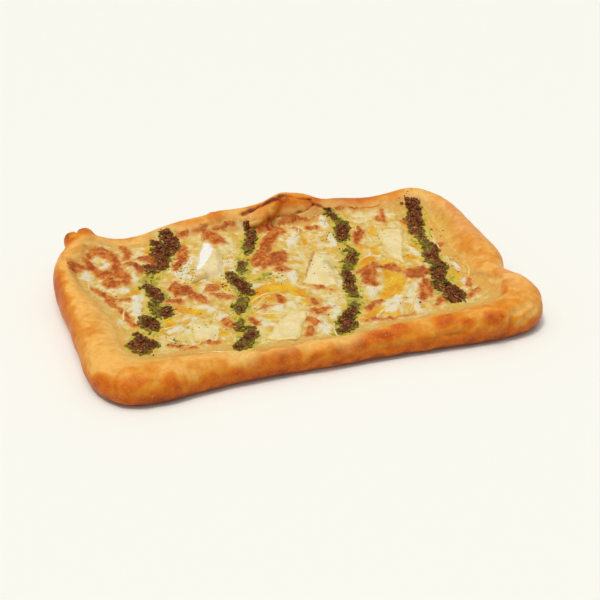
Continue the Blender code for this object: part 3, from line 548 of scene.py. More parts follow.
# Patches of the cheese in mm, as ribbons whose places give x, y and half width
TOASTED = (
    ((-123, 64, 2), (-118, 69, 2.8), (-112, 69, 4.4), (-108, 62, 4), (-106, 52, 2.6),
     (-108, 42, 2.6), (-105, 30, 2.6)),
    ((-98, 73, 2), (-97, 65, 2.5), (-98, 57, 2)),
    ((-126, 59, 2), (-124, 51, 2.5), (-120, 43, 2.5), (-118, 34, 1.5)),
    ((-137, 45, 3.5), (-131, 50, 3.5), (-126, 50, 2)),
    ((-115, 41, 2.6), (-113, 34, 2.6), (-117, 26, 3.4), (-113, 21, 4.2), (-106, 22, 3.2),
     (-103, 28, 2.2)),
    ((-101, 44, 2), (-96, 40, 3.5), (-94, 33, 2.5)),
    ((-88, 54, 3), (-83, 50, 5), (-80, 44, 3)),
    ((-58, 64, 1.5), (-60, 54, 2.5), (-64, 42, 2.5), (-69, 35, 1.5)),
    ((-127, 21, 1), (-122, 14, 1.5), (-119, 6, 2), (-118, 0, 2), (-117, -5, 1)),
    ((-119, 5, 0.8), (-112, 3, 1), (-107, 1, 1)),
    ((-74, 14, 2), (-75, 5, 5), (-72, 0, 5), (-67, -6, 3), (-64, -13, 2.5), (-61, -19, 1.5)),
    ((-54, -3, 3.5), (-51, 2, 2.5)),
    ((-56, -12, 1.5), (-50, -13, 2), (-43, -16, 1.5)),
    ((-83, -9, 2), (-76, -13, 2.5)),
    ((-54, -42, 2.5), (-53, -48, 2)),
    ((-73, -61, 1.5), (-66, -64, 1.8)),
    ((-92, -61, 0.6), (-86, -64, 0.8), (-78, -66, 0.8)),
    ((-115, -8, 0.8), (-112, -16, 1), (-111, -24, 1), (-107, -33, 0.7)),
    ((-38, 72, 4), (-34, 65, 4), (-31, 57, 2)),
    ((-58, 77, 1.8), (-52, 78, 1)),
    ((-48, 78, 0.7), (-38, 77, 1), (-28, 77, 1.2), (-20, 79, 1.6)),
    ((-14, 22, 5), (-12, 31, 4), (-6, 38, 3.5), (-3, 47, 3), (3, 56, 4), (10, 64, 4.5),
     (15, 70, 3)),
    ((-12, 18, 4), (-3, 20, 6.5), (2, 28, 5), (6, 34, 2)),
    ((-4, 10, 2), (0, 8, 2.5)),
    ((15, 76, 1), (24, 76.5, 1.3), (36, 77, 1), (47, 78, 0.7)),
    ((-3, 67, 1.4), (3, 69, 2.4), (9, 71, 2.6), (13, 70, 2)),
    ((-14, -23, 1.8), (-14, -30, 2.6)), ((-26, -33, 1.8), (-28, -37, 1.5)),
    ((-39, -45, 2), (-37, -50, 2.4)),
    ((5, -33, 1), (6, -38, 2.4)), ((1, -46, 2), (3, -52, 2.4), (9, -47, 1.6)),
    ((-4, -57, 1.6), (-2, -62, 2)),
    ((-7, -67, 2), (-9, -73, 1.8)), ((13, -19, 1.8), (16, -20, 1.5)), ((20, -26, 0.9),),
    ((69, 54, 1.2), (67, 48, 2.8), (64, 42, 3), (60, 35, 1.6), (59, 31, 1)),
    ((94, 73, 0.7), (92, 66, 1.2), (91, 58, 0.8)), ((88, 67, 0.9), (87, 63, 1.2)),
    ((103, 56, 1), (106, 46, 1), (103, 34, 1.4)), ((110, 13, 2.5), (116, 15, 2)),
    ((47, -10, 2.5), (53, -10, 4.5), (58, -6, 4), (60, -1, 2)),
    ((51, -16, 4.5), (47, -24, 4), (50, -28, 2.4)),
    ((63, -10, 3), (68, -9, 4), (71, -15, 2)),
    ((75, -25, 3), (79, -20, 4), (85, -18, 4.5), (87, -23, 3.5), (80, -26, 3.5)),
    ((82, -34, 2.4), (80, -42, 3.4), (76, -50, 3.4), (72, -55, 2.4)),
    ((86, -57, 2), (82, -60, 2.4), (78, -63, 1.4)),
    ((100, -60, 0.7), (106, -57, 0.9), (113, -51, 0.7)),
    ((106, -48, 0.8), (110, -42, 1), (113, -37, 0.7)),
    ((45, -49, 1.6), (40, -51, 2.4), (35, -54, 2)),
    ((28, -67, 0.6), (38, -69, 0.8), (50, -69, 0.7), (60, -68, 0.5)),
    ((24, 67, 1.1), (26, 63, 1.2)), ((34, 66, 2), (38, 64, 2.6)), ((62, 80, 1.2), (67, 81, 0.8)),
    ((72, 80, 0.8), (80, 79, 0.7), (90, 80, 0.8), (97, 80, 0.6)),
)
GOLDEN = (
    ((-31, -24, 3), (-27, -16, 5), (-18, -12, 6), (-8, -13, 6), (-2, -20, 5), (1, -28, 4),
     (2, -37, 3)),
    ((-22, -24, 2.5), (-14, -22, 2.5)), ((-47, 4, 3), (-44, -4, 2.5)), ((-98, 12, 3), (-104, 8, 2)),
    ((-79, -18, 3), (-73, -25, 5), (-68, -28, 3)), ((-87, -30, 2.5), (-87, -38, 3.5)),
    ((-95, -42, 2), (-97, -34, 1.5)),
    ((-61, -56, 2.5), (-57, -59, 2)), ((-108, -36, 1.5), (-110, -24, 1.5)),
    ((-27, -46, 2), (-23, -48, 1.5)),
    ((53, 12, 3.6), (58, 6, 5), (54, -2, 5), (46, 0, 3)), ((66, 26, 2), (68, 18, 3), (66, 12, 1.8)),
    ((62, -2, 3), (71, -1, 3)),
    ((64, -11, 4), (65, -19, 6.5), (66, -26, 6.5), (61, -33, 6.5), (56, -40, 5), (50, -45, 3)),
    ((42, -57, 3.2), (33, -62, 3.8), (26, -65, 2.4)),
    ((108, -24, 1.6), (105, -32, 2.6), (102, -36, 1.6)),
    ((79, 52, 1.4), (75, 44, 2.4)), ((95, 20, 2.4), (98, 13, 1.6)), ((26, 53, 1.6), (25, 43, 1.6)),
    ((102, 50, 1.6), (102, 40, 1.6)), ((71, -3, 3), (74, -12, 3.4), (70, -18, 3)),
    ((62, 40, 1.4), (60, 30, 2.2), (58, 21, 2.4)),
    ((84, 33, 1.4), (89, 24, 1.8)), ((76, 11, 2), (84, 4, 2.2), (93, -3, 2)),
    ((37, -62, 2), (44, -64, 2.6), (52, -66, 1.6)), ((-84, 62, 2), (-80, 70, 2)),
    ((86, -14, 2), (82, -12, 2)),
)
MILKY = (
    ((-129, 42, 2.5), (-128, 32, 3), (-127, 26, 2)), ((-113, 56, 2), (-114, 48, 3)),
    ((-97, 26, 2.4), (-96, 22, 1.6)),
    ((-101, 2, 2.4), (-102, -8, 3.4), (-106, -18, 3)), ((-70, 28, 3), (-66, 20, 4), (-56, 12, 4)),
    ((-114, 14, 1.4), (-106, 13, 1.6)), ((-60, -27, 2.6), (-57, -31, 1.8)),
    ((-90, -46, 2), (-84, -43, 1.6)),
    ((12, 42, 2), (16, 47, 4), (21, 54, 3), (27, 70, 2)), ((1, -7, 2), (3, 1, 3), (5, 6, 1.6)),
    ((22, -18, 3), (27, -12, 3)), ((13, -41, 2.4), (15, -50, 2.6), (12, -60, 2.4)),
    ((3, -60, 3), (3, -68, 4), (1, -75, 3)),
    ((-21, -38, 3), (-16, -37, 2)), ((-33, -52, 1.6), (-29, -56, 2)),
    ((-47, -34, 1.4), (-48, -38, 1.2)),
    ((48, 73, 3), (46, 66, 3.4)), ((45, 50, 2), (45, 41, 3.4), (43, 33, 2.6)),
    ((45, -31, 2.6), (44, -38, 2)),
    ((75, -36, 2.4), (70, -42, 2.6), (66, -53, 2.8), (64, -64, 2.6)), ((84, -33, 1.6),),
    ((58, -47, 3), (50, -57, 4.5), (44, -65, 3)), ((63, 12, 2), (67, 8, 2)),
    ((92, 5, 3.4), (93, 13, 2)),
    ((92, -10, 1.6), (90, -22, 1.6)), ((113, -13, 1.6), (112, -22, 1.6)),
    ((106, -43, 1.6), (110, -36, 1.4)), ((103, -52, 1.6),), ((-57, 46, 1.4), (-64, 28, 2)),
)

# Places in mm that no green oil reached, the fold and its face, which stand free, and puffs
UNOILED = ((-108, -66, 12, 8, 0, 0.8), (94, -66, 10, 6, 0, 0.5), (-70, 76, 8, 8, 0, 0.5))
FOLD_PLACE = ((14, 78, 38, 14, 0, 1.0),)
FOLD_FACE = ((14, 86.5, 32, 9, 0, 1.0), (1, 78, 12, 7, 0, 1.0))
PUFFS = (
    (-98, 38, 7, 7, 0, 1.0), (-121, 52, 6, 6, 0, 0.5), (-3, 26, 9, 7, 0, 0.4), (53, -14, 8, 8, 0, 0.5),
)

# Where the green oil pooled, as ribbons
HERBED = (
    ((-95, 22, 2.5), (-86, 20, 4), (-80, 26, 2)), ((-84, 4, 2.4), (-83, -3, 2)),
    ((-95, -20, 2.4), (-91, -26, 3.4)),
    ((-104, -40, 3), (-100, -48, 2)), ((-26, 38, 2.4), (-26, 26, 3), (-30, 16, 2.4), (-28, 4, 2)),
    ((-17, 60, 2.4), (-20, 48, 2.4)),
    ((-36, -18, 2), (-45, -42, 3), (-48, -52, 3.4), (-46, -60, 2)),
    ((60, 68, 2), (62, 58, 1.6)), ((54, 26, 3), (46, 24, 3), (43, 14, 2)),
    ((28, -36, 3), (27, -46, 3), (38, -41, 2)),
    ((111, 28, 3), (105, 20, 3), (103, 24, 3)), ((125, 30, 1.6), (126, 16, 1.4)),
    ((4, -60, 1.6), (6, -63, 1.4)),
    ((-14, 6, 4), (-22, 2, 3)), ((118, 38, 2), (112, 26, 2)), ((84, 10, 3), (86, 22, 2)),
    ((30, 8, 3), (36, 0, 2)),
)


def smooth_route(points, step):
    """Points about one step apart on a Catmull-Rom curve through rows of any equal length."""
    rows = [Vector(row) for row in points]
    rows = [2.0 * rows[0] - rows[1]] + rows + [2.0 * rows[-1] - rows[-2]]
    route = []
    for before, start, end, after in zip(rows, rows[1:], rows[2:], rows[3:]):
        count = max(1, round((end.xy - start.xy).length / step))
        for index in range(count):
            t = index / count
            route.append(0.5 * (
                2.0 * start + (end - before) * t
                + (2.0 * before - 5.0 * start + 4.0 * end - after) * t ** 2
                + (3.0 * start - before - 3.0 * end + after) * t ** 3
            ))
    route.append(rows[-2])
    return route


def drop(tree, x, y):
    """Height of the surface at x, y, or nothing."""
    hit = tree.ray_cast(Vector((x, y, 1.0)), Vector((0.0, 0.0, -1.0)))[0]
    return hit.z if hit else None


low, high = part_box("melted_cheese")
across = (high[0] - low[0] + 2.0 * CHEESE_MARGIN, high[1] - low[1] + 2.0 * CHEESE_MARGIN)
columns, lines = round(across[0] / CHEESE_CELL), round(across[1] / CHEESE_CELL)
bm = bmesh.new()
bmesh.ops.create_grid(bm, x_segments=columns, y_segments=lines, size=0.5)
bm.transform(Matrix.Translation((0.5 * (low[0] + high[0]), 0.5 * (low[1] + high[1]), 0.0))
             @ Matrix.Diagonal((*across, 1.0, 1.0)))
cheese = new_piece("melted_cheese_sheet", bm)
rows = rows_of(cheese.data)

# The sheet takes the solids' heights, without the stripes that are laid on it later
solid_cheese = tree_of(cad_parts["melted_cheese"].data)
both = tree_of(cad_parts["melted_cheese"].data, dough.data)
covered = np.array([drop(solid_cheese, x, y) is not None for x, y, _ in rows]).astype(float)
heights = np.array([drop(both, x, y) or 0.0 for x, y, _ in rows])
herb_reach = np.full(len(rows), np.inf)
for stripe in HERB_STRIPES:
    for x, y, radius in smooth_route(stripe, 0.004):
        away = np.hypot(rows[:, 0] - x, rows[:, 1] - y) / radius
        herb_reach = np.minimum(herb_reach, away)


def as_grid(values):
    """The grid's numbers as rows and columns; its points run along X first."""
    return values.reshape(lines + 1, columns + 1)


def blurred(values, times):
    """The grid's numbers, each made the mean of its neighbours again and again."""
    for _ in range(times):
        wide = np.pad(values, 1, mode="edge")
        around = wide[:-2, 1:-1] + wide[2:, 1:-1] + wide[1:-1, :-2] + wide[1:-1, 2:]
        values = (around + 2.0 * values) / 6.0
    return values


laid_on = as_grid((herb_reach < 1.35).astype(float))
ground = as_grid(heights)
free = 1.0 - laid_on
known = blurred(ground * free, 60) / np.maximum(blurred(free, 60), 1e-4)
ground = np.where(laid_on > 0.5, np.minimum(known, ground), ground)
inside = blurred(as_grid(covered), 9)
ground = blurred(ground, 7) * inside + ground * (1.0 - inside)

# The cheese and its oil fill the corner where the dough rises to the rim, but not at the fold
nearby = ease(4.0 * blurred(as_grid(covered), 120)) * (1.0 - as_grid(spread(rows, FOLD_PLACE, 0.4)))
filled = (np.clip(blurred(ground, 150) - ground, 0.0, CHEESE_FILL) * nearby).ravel()
ground = ground.ravel() + filled
wandering = stray(rows, 0.007, 0.0014)
wandering = stray(wandering, 0.0028, 0.0006)
runs = spread(stray(wandering, 0.012, 0.002), CHEESE_RUNS, 0.35) * ease((0.0262 - ground) / 0.002)
laid = np.maximum(inside.ravel(), runs) * (1.0 - spread(rows, FOLD_FACE, 0.15))
middle = ease(2.0 * blurred(as_grid(covered), 160).ravel() - 1.0)
toasted = 0.8 + depth_in(wandering, TOASTED) + 0.8 * ripple(rows, 0.0030, 3, 2.0)
toasted = np.clip(0.5 + toasted / 8.5, 0.0, 1.0)
golden = ease(0.5 + depth_in(wandering, GOLDEN) / 5.0)
milky = ease(0.5 + depth_in(wandering, MILKY) / 4.5)
herbed = ease((2.1 - herb_reach) / 0.9) * (0.8 - spread(wandering, UNOILED, 0.5))
herbed = np.maximum(ease(0.5 + depth_in(wandering, HERBED) / 7.0), herbed)
flow = ripple(rows, 0.010, 3, 6.0)
bubble = ripple(rows, 0.0036, 2, 8.0)
fine_bubble = ripple(rows, 0.0017, 2, 3.0)
rise = 0.00090 * flow + 0.00042 * bubble + 0.00018 * fine_bubble
rise += ease((toasted - 0.42) / 0.35) * (0.00100 + 0.00030 * bubble + 0.00030 * fine_bubble)
rise += 0.0008 * milky - 0.0003 * golden + 0.0028 * spread(wandering, PUFFS, 0.6)
edge = ease((laid - 0.12 + 0.10 * ripple(rows, 0.008, 2, 5.0)) / 0.50)
thin = 0.35 + 0.65 * inside.ravel()
kept = ease(filled / 0.0001)
rows[:, 2] = ground + (0.0003 + rise * thin) * edge
rows[:, 2] -= (0.0002 + CHEESE_SINK * (1.0 - kept)) * (1.0 - edge)
cover = np.maximum(laid, kept)
oiled = np.array([topping.find_nearest(Vector(row))[3] for row in rows])
cheese.data.vertices.foreach_set("co", rows.ravel())
keep_on_points(
    cheese.data, toasted=toasted, golden=golden, milky=milky, herbed=herbed, bubbled=0.5 + 0.5 * bubble,
    margin=1.0 - middle, thinned=1.0 - ease((laid * (0.5 + 0.5 * inside.ravel()) - 0.15) / 0.65),
    lying=0.5 - 0.5 * flow, oiled=ease(1.0 - oiled / OIL_REACH),
)
bm = bmesh.new()
bm.from_mesh(cheese.data)
outside = [vert for vert, share in zip(bm.verts, cover) if share < 0.06]
bmesh.ops.delete(bm, geom=outside, context="VERTS")
border = [edge for edge in bm.edges if edge.is_boundary]
walls = bmesh.ops.extrude_edge_only(bm, edges=border)["geom"]
for vert in (item for item in walls if isinstance(item, bmesh.types.BMVert)):
    vert.co.z = CHEESE_FOOT
bmesh.ops.holes_fill(bm, edges=[edge for edge in bm.edges if edge.is_boundary])
bmesh.ops.triangulate(bm, faces=[face for face in bm.faces if len(face.verts) > 4])
bmesh.ops.recalc_face_normals(bm, faces=bm.faces)
bm.to_mesh(cheese.data)
bm.free()

cheese_skin, recipe, shader = new_material("melted_cheese")
mottle = recipe.grain(330.0, 2.0)
wide = recipe.grain(80.0, 5.0)
curd = recipe.grain(210.0, 4.0, 0.55)
colour = recipe.mixed(recipe.band(wide, 0.38, 0.60), tone("FAE08C"), tone("F2C452"))
colour = recipe.tinted(colour, "FFF3C6", curd, 0.50, 0.66, 0.75)
colour = recipe.tinted(colour, "DBA43A", curd, 0.46, 0.30, 0.6)
# Hollows of the sheet, where its oil pools, are tinted a darker yellow, partly oil and partly painted
# shade; its raised places are tinted creamier
near = recipe.uneven("lying", curd, -0.2)
colour = recipe.tinted(colour, "DDB23C", near, 0.52, 0.95, 0.6)
colour = recipe.tinted(colour, "FFF4CE", near, 0.44, 0.10, 0.8)
near = recipe.uneven("margin", wide, 0.3)
colour = recipe.tinted(colour, "F0C268", near, 0.3, 1.1, 0.6)
near = recipe.uneven("thinned", wide, 0.2)
bare = recipe.mixed(recipe.band(wide, 0.38, 0.62), tone("EFAE50"), tone("E8983A"))
bare = recipe.tinted(bare, "F4BF5C", recipe.kept("oiled"), 0.05, 0.9, 0.85)
colour = recipe.mixed(recipe.band(near, 0.20, 0.70), colour, bare)
near = recipe.uneven("milky", curd, 0.35)
colour = recipe.tinted(colour, "FFF5D6", near, 0.15, 0.90, 0.92)
near = recipe.uneven("golden", mottle, 0.20)
bright = recipe.mixed(recipe.band(wide, 0.38, 0.62), tone("FFCC22"), tone("F2A404"))
colour = recipe.mixed(recipe.band(near, 0.15, 0.80, 0.0, 0.95), colour, bright)
near = recipe.uneven("herbed", curd, 0.40)
colour = recipe.tinted(colour, "E2D03A", near, 0.25, 0.85, 0.75)
colour = recipe.tinted(colour, "8F891A", near, 0.75, 1.15, 0.65)
near = recipe.uneven("toasted", curd, -0.12)
# On the toasted patches the bubbles' tops are painted lighter orange and their hollows darker: painted
# highlight and painted shade
bubble_light_and_shade = recipe.uneven("bubbled", mottle, 0.3)
orange = recipe.mixed(recipe.band(bubble_light_and_shade, 0.15, 0.90), tone("C0560E"), tone("EC963C"))
colour = recipe.tinted(colour, "F0AE5C", near, 0.20, 0.52, 0.9)
colour = recipe.tinted(colour, "D06814", near, 0.44, 0.66, 0.9)
colour = recipe.mixed(recipe.band(near, 0.52, 0.78), colour, orange)
deepest = recipe.math("MULTIPLY", near, recipe.band(wide, 0.46, 0.58))
colour = recipe.tinted(colour, "A84208", deepest, 0.4, 0.8, 0.55)
# Painted glints: small pale dots stand for the shine of the oil, warm on the toasted patches and near
# white elsewhere
glint_speck = recipe.band(recipe.grain(520.0, 2.0), 0.60, 0.68)
glint = recipe.math("MULTIPLY", glint_speck, recipe.band(near, 0.50, 0.65, 0.0, 0.35))
colour = recipe.mixed(glint, colour, tone("FFC98A"))
glint = recipe.band(recipe.grain(620.0, 1.0), 0.64, 0.76, 0.0, 0.5)
glint = recipe.math("MULTIPLY", glint, recipe.band(near, 0.60, 0.35))
colour = recipe.mixed(glint, colour, tone("FFF8E0"))
finish_shader(
    recipe, shader, colour, (700.0, 0.25, 0.9), 0.0007, recipe.band(wide, 0.35, 0.65, 0.22, 0.38),
    coat=0.08, coat_roughness=0.08, shine=0.18, inner_light=0.12, inner_reach=0.003,
)
cheese.data.materials.append(cheese_skin)
cheese.data.shade_smooth()
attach(cheese, "root")
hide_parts("melted_cheese")

# ---------------------------------------------------------------- the herb sauce
# Four stripes of coarse basil paste piped across the cheese. The oven dried its chopped leaves
# to dark red-brown crumbs in the middle, and its green oil ran out at the sides.

SAUCE_VOXEL = 0.00060
CRUMB_SIZE = (0.0008, 0.0021)             # least and most radius
LOOSE_CRUMB_SIZE = (0.0006, 0.0015)
HEAP_HEIGHT = 0.0021
CRUMBS_PER_METRE = 900
CLUMP_CRUMBS_PER_MM2 = 0.55
LOOSE_CRUMBS_PER_MM2 = 0.45

# Clumps of the sauce that the oven dried to brown, one set of ribbons for each stripe
CLUMPS = (
    (
        ((-68, 79, 3.5), (-64, 72, 4), (-67, 63, 5), (-72, 58, 6), (-76, 50, 4.5), (-76, 42, 3)),
        ((-75, 74, 2), (-74, 66, 2.5), (-79, 55, 3)),
        ((-87, 40, 2), (-87, 33, 2.5), (-81, 35, 2.5), (-76, 39, 2)),
        ((-93, 12, 2.4), (-90, 6, 4), (-88, 0, 3), (-88, -6, 2.2)), ((-93, -9, 1.4), (-93, -18, 2)),
        ((-86, -18, 2.6), (-88, -24, 2.6)), ((-102, -25, 2), (-100, -30, 4), (-98, -37, 3.4)),
        ((-109, -42, 1), (-108, -48, 3), (-112, -54, 4.5), (-105, -56, 5), (-109, -62, 3.6)),
    ),
    (
        ((-8, 79, 2.6), (-7, 72, 3), (-9, 64, 3), (-12, 55, 3), (-15, 46, 2.6), (-18, 40, 1.6)),
        ((-26, 26, 1.6), (-28, 18, 1.6)),
        ((-37, 12, 2.2), (-36, 4, 3), (-33, -2, 3.6), (-34, -8, 3), (-31, -13, 2)),
        ((-37, -20, 1.8), (-41, -27, 2.6), (-43, -35, 2)), ((-47, -47, 1.4), (-49, -56, 1.6)),
        ((-42, -58, 1.8), (-44, -64, 2.8), (-49, -71, 3.6), (-54, -77, 3.4)),
    ),
    (
        ((51, 80, 1.8), (55, 77, 2.4), (57, 71, 2)),
        ((60, 64, 2.6), (57, 56, 4.6), (54, 48, 4), (51, 40, 2.6)),
        ((50, 23, 1.6), (51, 17, 2.6), (48, 12, 3), (45, 6, 2.8), (41, -1, 1.6)),
        ((37, -6, 1.8), (37, -13, 3), (35, -20, 3), (32, -28, 2.2), (32, -37, 1.8)),
        ((28, -47, 1), (24, -54, 3), (20, -60, 3.4), (15, -66, 3.4), (18, -70, 3), (10, -76, 3)),
    ),
    (
        ((109, 77, 0.9), (113, 73, 1.6), (117, 67, 4), (116, 62, 5), (112, 54, 5), (110, 46, 4.6),
         (106, 36, 3)),
        ((106, 27, 2), (105, 19, 2.4), (107, 12, 3.6), (104, 6, 4.4), (101, -2, 4.4), (100, -9, 4),
         (101, -15, 4.6),
         (97, -22, 4.6), (94, -28, 4), (93, -34, 3)),
        ((88, -39, 1.6), (88, -46, 3), (93, -46, 4.6), (94, -54, 6), (92, -60, 4.4)),
    ),
)

STAYED_GREEN = (0.0, 0.18, 0.20, 0.03)    # how much less each stripe dried

# Places where the sauce stayed green in mm: middle, half sizes, turn and strength
GREEN_SAUCE = (
    (-23, 40, 6, 10, 0, 0.9), (-30, 10, 5, 8, 0, 0.6), (-38, -23, 5, 8, 0, 0.8),
    (-44, -50, 5, 9, 0, 0.7),
    (50, 23, 6, 7, 0, 0.8), (28, -45, 6, 8, 0, 0.8), (41, 0, 5, 6, 0, 0.6),
    (102, 14, 5, 12, 0, 0.7),
    (97, -12, 3, 8, 0, 0.5), (-93, -14, 6, 8, 0, 0.5), (-104, -25, 6, 6, 0, 0.4),
    (-93, 8, 3, 5, 0, 0.3),
    (58, 66, 5, 5, 0, 0.5),
)

ground_tree = tree_of(cheese.data, dough.data)
draw = random.Random(11)


def crumb(bm, place, size, draw, long=1.3, flat=0.9, tilt=0.5):
    """One chopped crumb: a squashed ball turned any way; its points are returned."""
    shape = Matrix.Translation(place) @ Matrix.Rotation(draw.uniform(0.0, math.tau), 4, "Z")
    shape @= Matrix.Rotation(draw.uniform(-tilt, tilt), 4, "X")
    sizes = (size * draw.uniform(0.9, long), size, size * draw.uniform(0.7, 1.0) * flat, 1.0)
    shape @= Matrix.Diagonal(sizes)
    return bmesh.ops.create_icosphere(bm, subdivisions=1, radius=1.0, matrix=shape)["verts"]


def strew(bm, place, stack, size, draw, **shape):
    """Drop a crumb on to the cheese, but not on to dough that stands over it."""
    height, dough_height = drop(ground_tree, *place), drop(dough_tree, *place) or 0.0
    if height and (dough_height < height or dough_height < 0.021):
        return crumb(bm, Vector((*place, height + stack)), size, draw, **shape)
    return []


sauce_skin, recipe, shader = new_material("herb_sauce")
mottle = recipe.grain(800.0, 4.0, 0.6)
leaf = recipe.grain(420.0, 3.0, 0.6)
colour = recipe.mixed(recipe.band(leaf, 0.40, 0.56), tone("76641A"), tone("9C8A26"))
colour = recipe.tinted(colour, "C4B43A", leaf, 0.54, 0.68)
brown = recipe.mixed(recipe.band(mottle, 0.36, 0.62), tone("4E1C0A"), tone("A2541E"))
brown = recipe.tinted(brown, "74280E", recipe.kept("hue"), 0.55, 0.75)
brown = recipe.tinted(brown, "C48E3C", recipe.kept("hue"), 0.86, 0.92)
brown = recipe.tinted(brown, "5E5810", recipe.kept("hue"), 0.26, 0.16)
dry = recipe.uneven("dried", leaf, 0.30)
colour = recipe.mixed(recipe.band(dry, 0.35, 0.65), colour, brown)
low = recipe.uneven("oily", mottle)
colour = recipe.tinted(colour, "C4B82E", low, 0.65, 1.05, 0.8)
# Painted glints: pale dots stand for the shine on the crumbs
glint = recipe.band(recipe.grain(800.0, 1.0), 0.62, 0.70, 0.0, 0.65)
colour = recipe.mixed(glint, colour, tone("DDAE6A"))
finish_shader(
    recipe, shader, colour, (900.0, 0.4, 0.9), 0.0007, recipe.band(mottle, 0.3, 0.7, 0.18, 0.42),
    coat=0.12, coat_roughness=0.10, shine=0.2,
)

dough_tree = tree_of(dough.data)
for number, (stripe, clumps, green) in enumerate(zip(HERB_STRIPES, CLUMPS, STAYED_GREEN), 1):
    bm = bmesh.new()
    route = smooth_route(stripe, 0.0012)
    for before, here in zip(route, route[1:]):
        along = (here.xy - before.xy)
        aside = Vector((-along.y, along.x)).normalized()
        swell = 1.0 + 0.5 * noise.noise(Vector((here.x, here.y, number)) / 0.011)
        for _ in range(max(1, round(CRUMBS_PER_METRE * along.length))):
            out = max(-1.4, min(1.4, draw.gauss(0.0, 0.55)))
            size = draw.uniform(0.6, 1.0) * draw.uniform(*CRUMB_SIZE) * (1.0 - 0.35 * abs(out))
            wide = here.z * swell
            place = before.xy + along * draw.random() + aside * (out + 0.4 * (swell - 1.0)) * wide
            strew(bm, place, 0.06 * wide * draw.random(), size, draw)

    # Clumps are heaps of crumbs with torn outlines; more crumbs lie loose on them, each its own tone
    reach = [(0.001 * x - 0.001 * w, 0.001 * y - 0.001 * w, 0.001 * x + 0.001 * w, 0.001 * y + 0.001 * w)
             for ribbon in clumps for x, y, w in ribbon]
    low_x, low_y = (min(box[side] for box in reach) - 0.003 for side in (0, 1))
    high_x, high_y = (max(box[side] for box in reach) + 0.003 for side in (2, 3))
    in_all = CLUMP_CRUMBS_PER_MM2 + LOOSE_CRUMBS_PER_MM2
    tries = round(1e6 * (high_x - low_x) * (high_y - low_y) * in_all)
    places = np.array([
        (draw.uniform(low_x, high_x), draw.uniform(low_y, high_y), 0.0) for _ in range(tries)])
    depth = depth_in(stray(stray(places, 0.006, 0.0016), 0.0022, 0.0009), clumps)
    loose = bmesh.new()
    hues = []
    for place, inside in zip(places, depth):
        uneven = 0.7 + 1.0 * noise.noise(Vector(place) / 0.0045)
        heap = HEAP_HEIGHT * float(ease(inside / 3.5)) * uneven
        if draw.random() < CLUMP_CRUMBS_PER_MM2 / in_all:
            if inside > 0.0:
                strew(bm, place[:2], heap * draw.random(), draw.uniform(*CRUMB_SIZE), draw)
        elif inside > -1.2:
            size = draw.uniform(*LOOSE_CRUMB_SIZE)
            made = strew(loose, place[:2], heap + 0.4 * size, size, draw, long=2.0, flat=0.5, tilt=1.1)
            hue = 0.5 + 0.8 * (draw.random() - 0.5) + 0.7 * noise.noise(Vector(place) / 0.005)
            hues += [hue] * len(made)
    for vert in loose.verts:
        vert.co += 0.00022 * noise.noise_vector(vert.co / 0.0006)
    sauce = new_piece(f"herb_sauce_stripe_{number}", bm)
    regrown(sauce, SAUCE_VOXEL)
    smoothed(sauce.data, 1)
    rows, facing = rows_of(sauce.data), normals_of(sauce.data)
    rows += (0.00034 * ripple(rows, 0.0016, 3, number))[:, None] * facing
    sauce.data.vertices.foreach_set("co", rows.ravel())
    hues = [0.5] * len(rows) + hues
    bm = bmesh.new()
    bm.from_mesh(sauce.data)
    poured(bm, loose)
    bm.to_mesh(sauce.data)
    bm.free()
    rows = rows_of(sauce.data)
    stand = np.array([z - (drop(ground_tree, x, y) or z) for x, y, z in rows])
    keep_on_points(
        sauce.data,
        dried=ease(0.75 + depth_in(stray(rows, 0.003, 0.0012), clumps) / 3.0)
        - 0.5 * np.clip(ripple(rows, 0.011, 2, 5.0), 0.0, 1.0) - spread(rows, GREEN_SAUCE, 0.7) - green,
        oily=1.0 - stand / (0.0011 + 0.004 * green),
        hue=np.array(hues),
    )
    sauce.data.materials.append(sauce_skin)
    sauce.data.shade_smooth()
    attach(sauce, "root")
    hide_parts("melted_cheese")

# ---------------------------------------------------------------- the cheese slices
# Five slices of soft ripened cheese, cut by hand and laid on before the end of the bake, so
# that their edges slumped but their faces stayed pale. Two show their white rind.

# Corners from the back left round to the front left, thickness and the share that kept its edges
SLICES = {
    "brie_wedge_slice": (
        ((-0.0452, 0.0598), (-0.0317, 0.0508), (-0.0397, 0.0138), (-0.0647, 0.0088)), 0.0042, 0.42,
    ),
    "brie_rind_slice": (
        ((0.0253, 0.0293), (0.0373, 0.0213), (0.0278, -0.0247), (0.0048, -0.0122)), 0.0026, 0.12,
    ),
    "front_slice": (
        ((-0.0137, -0.0427), (-0.0032, -0.0487), (-0.0192, -0.0792), (-0.0377, -0.0717)), 0.0016,
        1.5,
    ),
    "right_slice": (
        ((0.0788, 0.0453), (0.0983, 0.0423), (0.0788, -0.0067), (0.0718, 0.0053)), 0.0018, 1.5,
    ),
    "left_slice": (
        ((-0.0757, -0.0417), (-0.0567, -0.0442), (-0.0642, -0.0667), (-0.0782, -0.0602)), 0.0016,
        0.4,
    ),
}

# Ribbons in mm: the white rind, brown lines at the rind slice's edges and a painted shadow line along the
# front slice's front edge, grey places; and the place where a slice slumped
RIND = ((-40, 60, 5.0), (-47, 44, 5.0), (-55, 28, 4.0), (-59, 20, 2.5))
BROWN_AND_SHADOW_LINES = (
    ((26.5, 28, 1.3), (16.5, 9, 1.1), (7.5, -9, 0.7)),
    ((27, 27, 0.8), (32, 24, 1.9), (36, 21, 0.8)),
    ((-37, -74, 0.5), (-20, -79, 0.6), (-18, -78, 0.3)),
)
GREYED = (
    ((29, 9, 2.8), (31, 1, 2.6)), ((26, -6, 1.6), (28, -13, 1.6)), ((27, 16, 1.6),), ((20, 20, 1.2),),
)
SLUMPED = ((34, 0, 7, 26, -12, 1.0),)

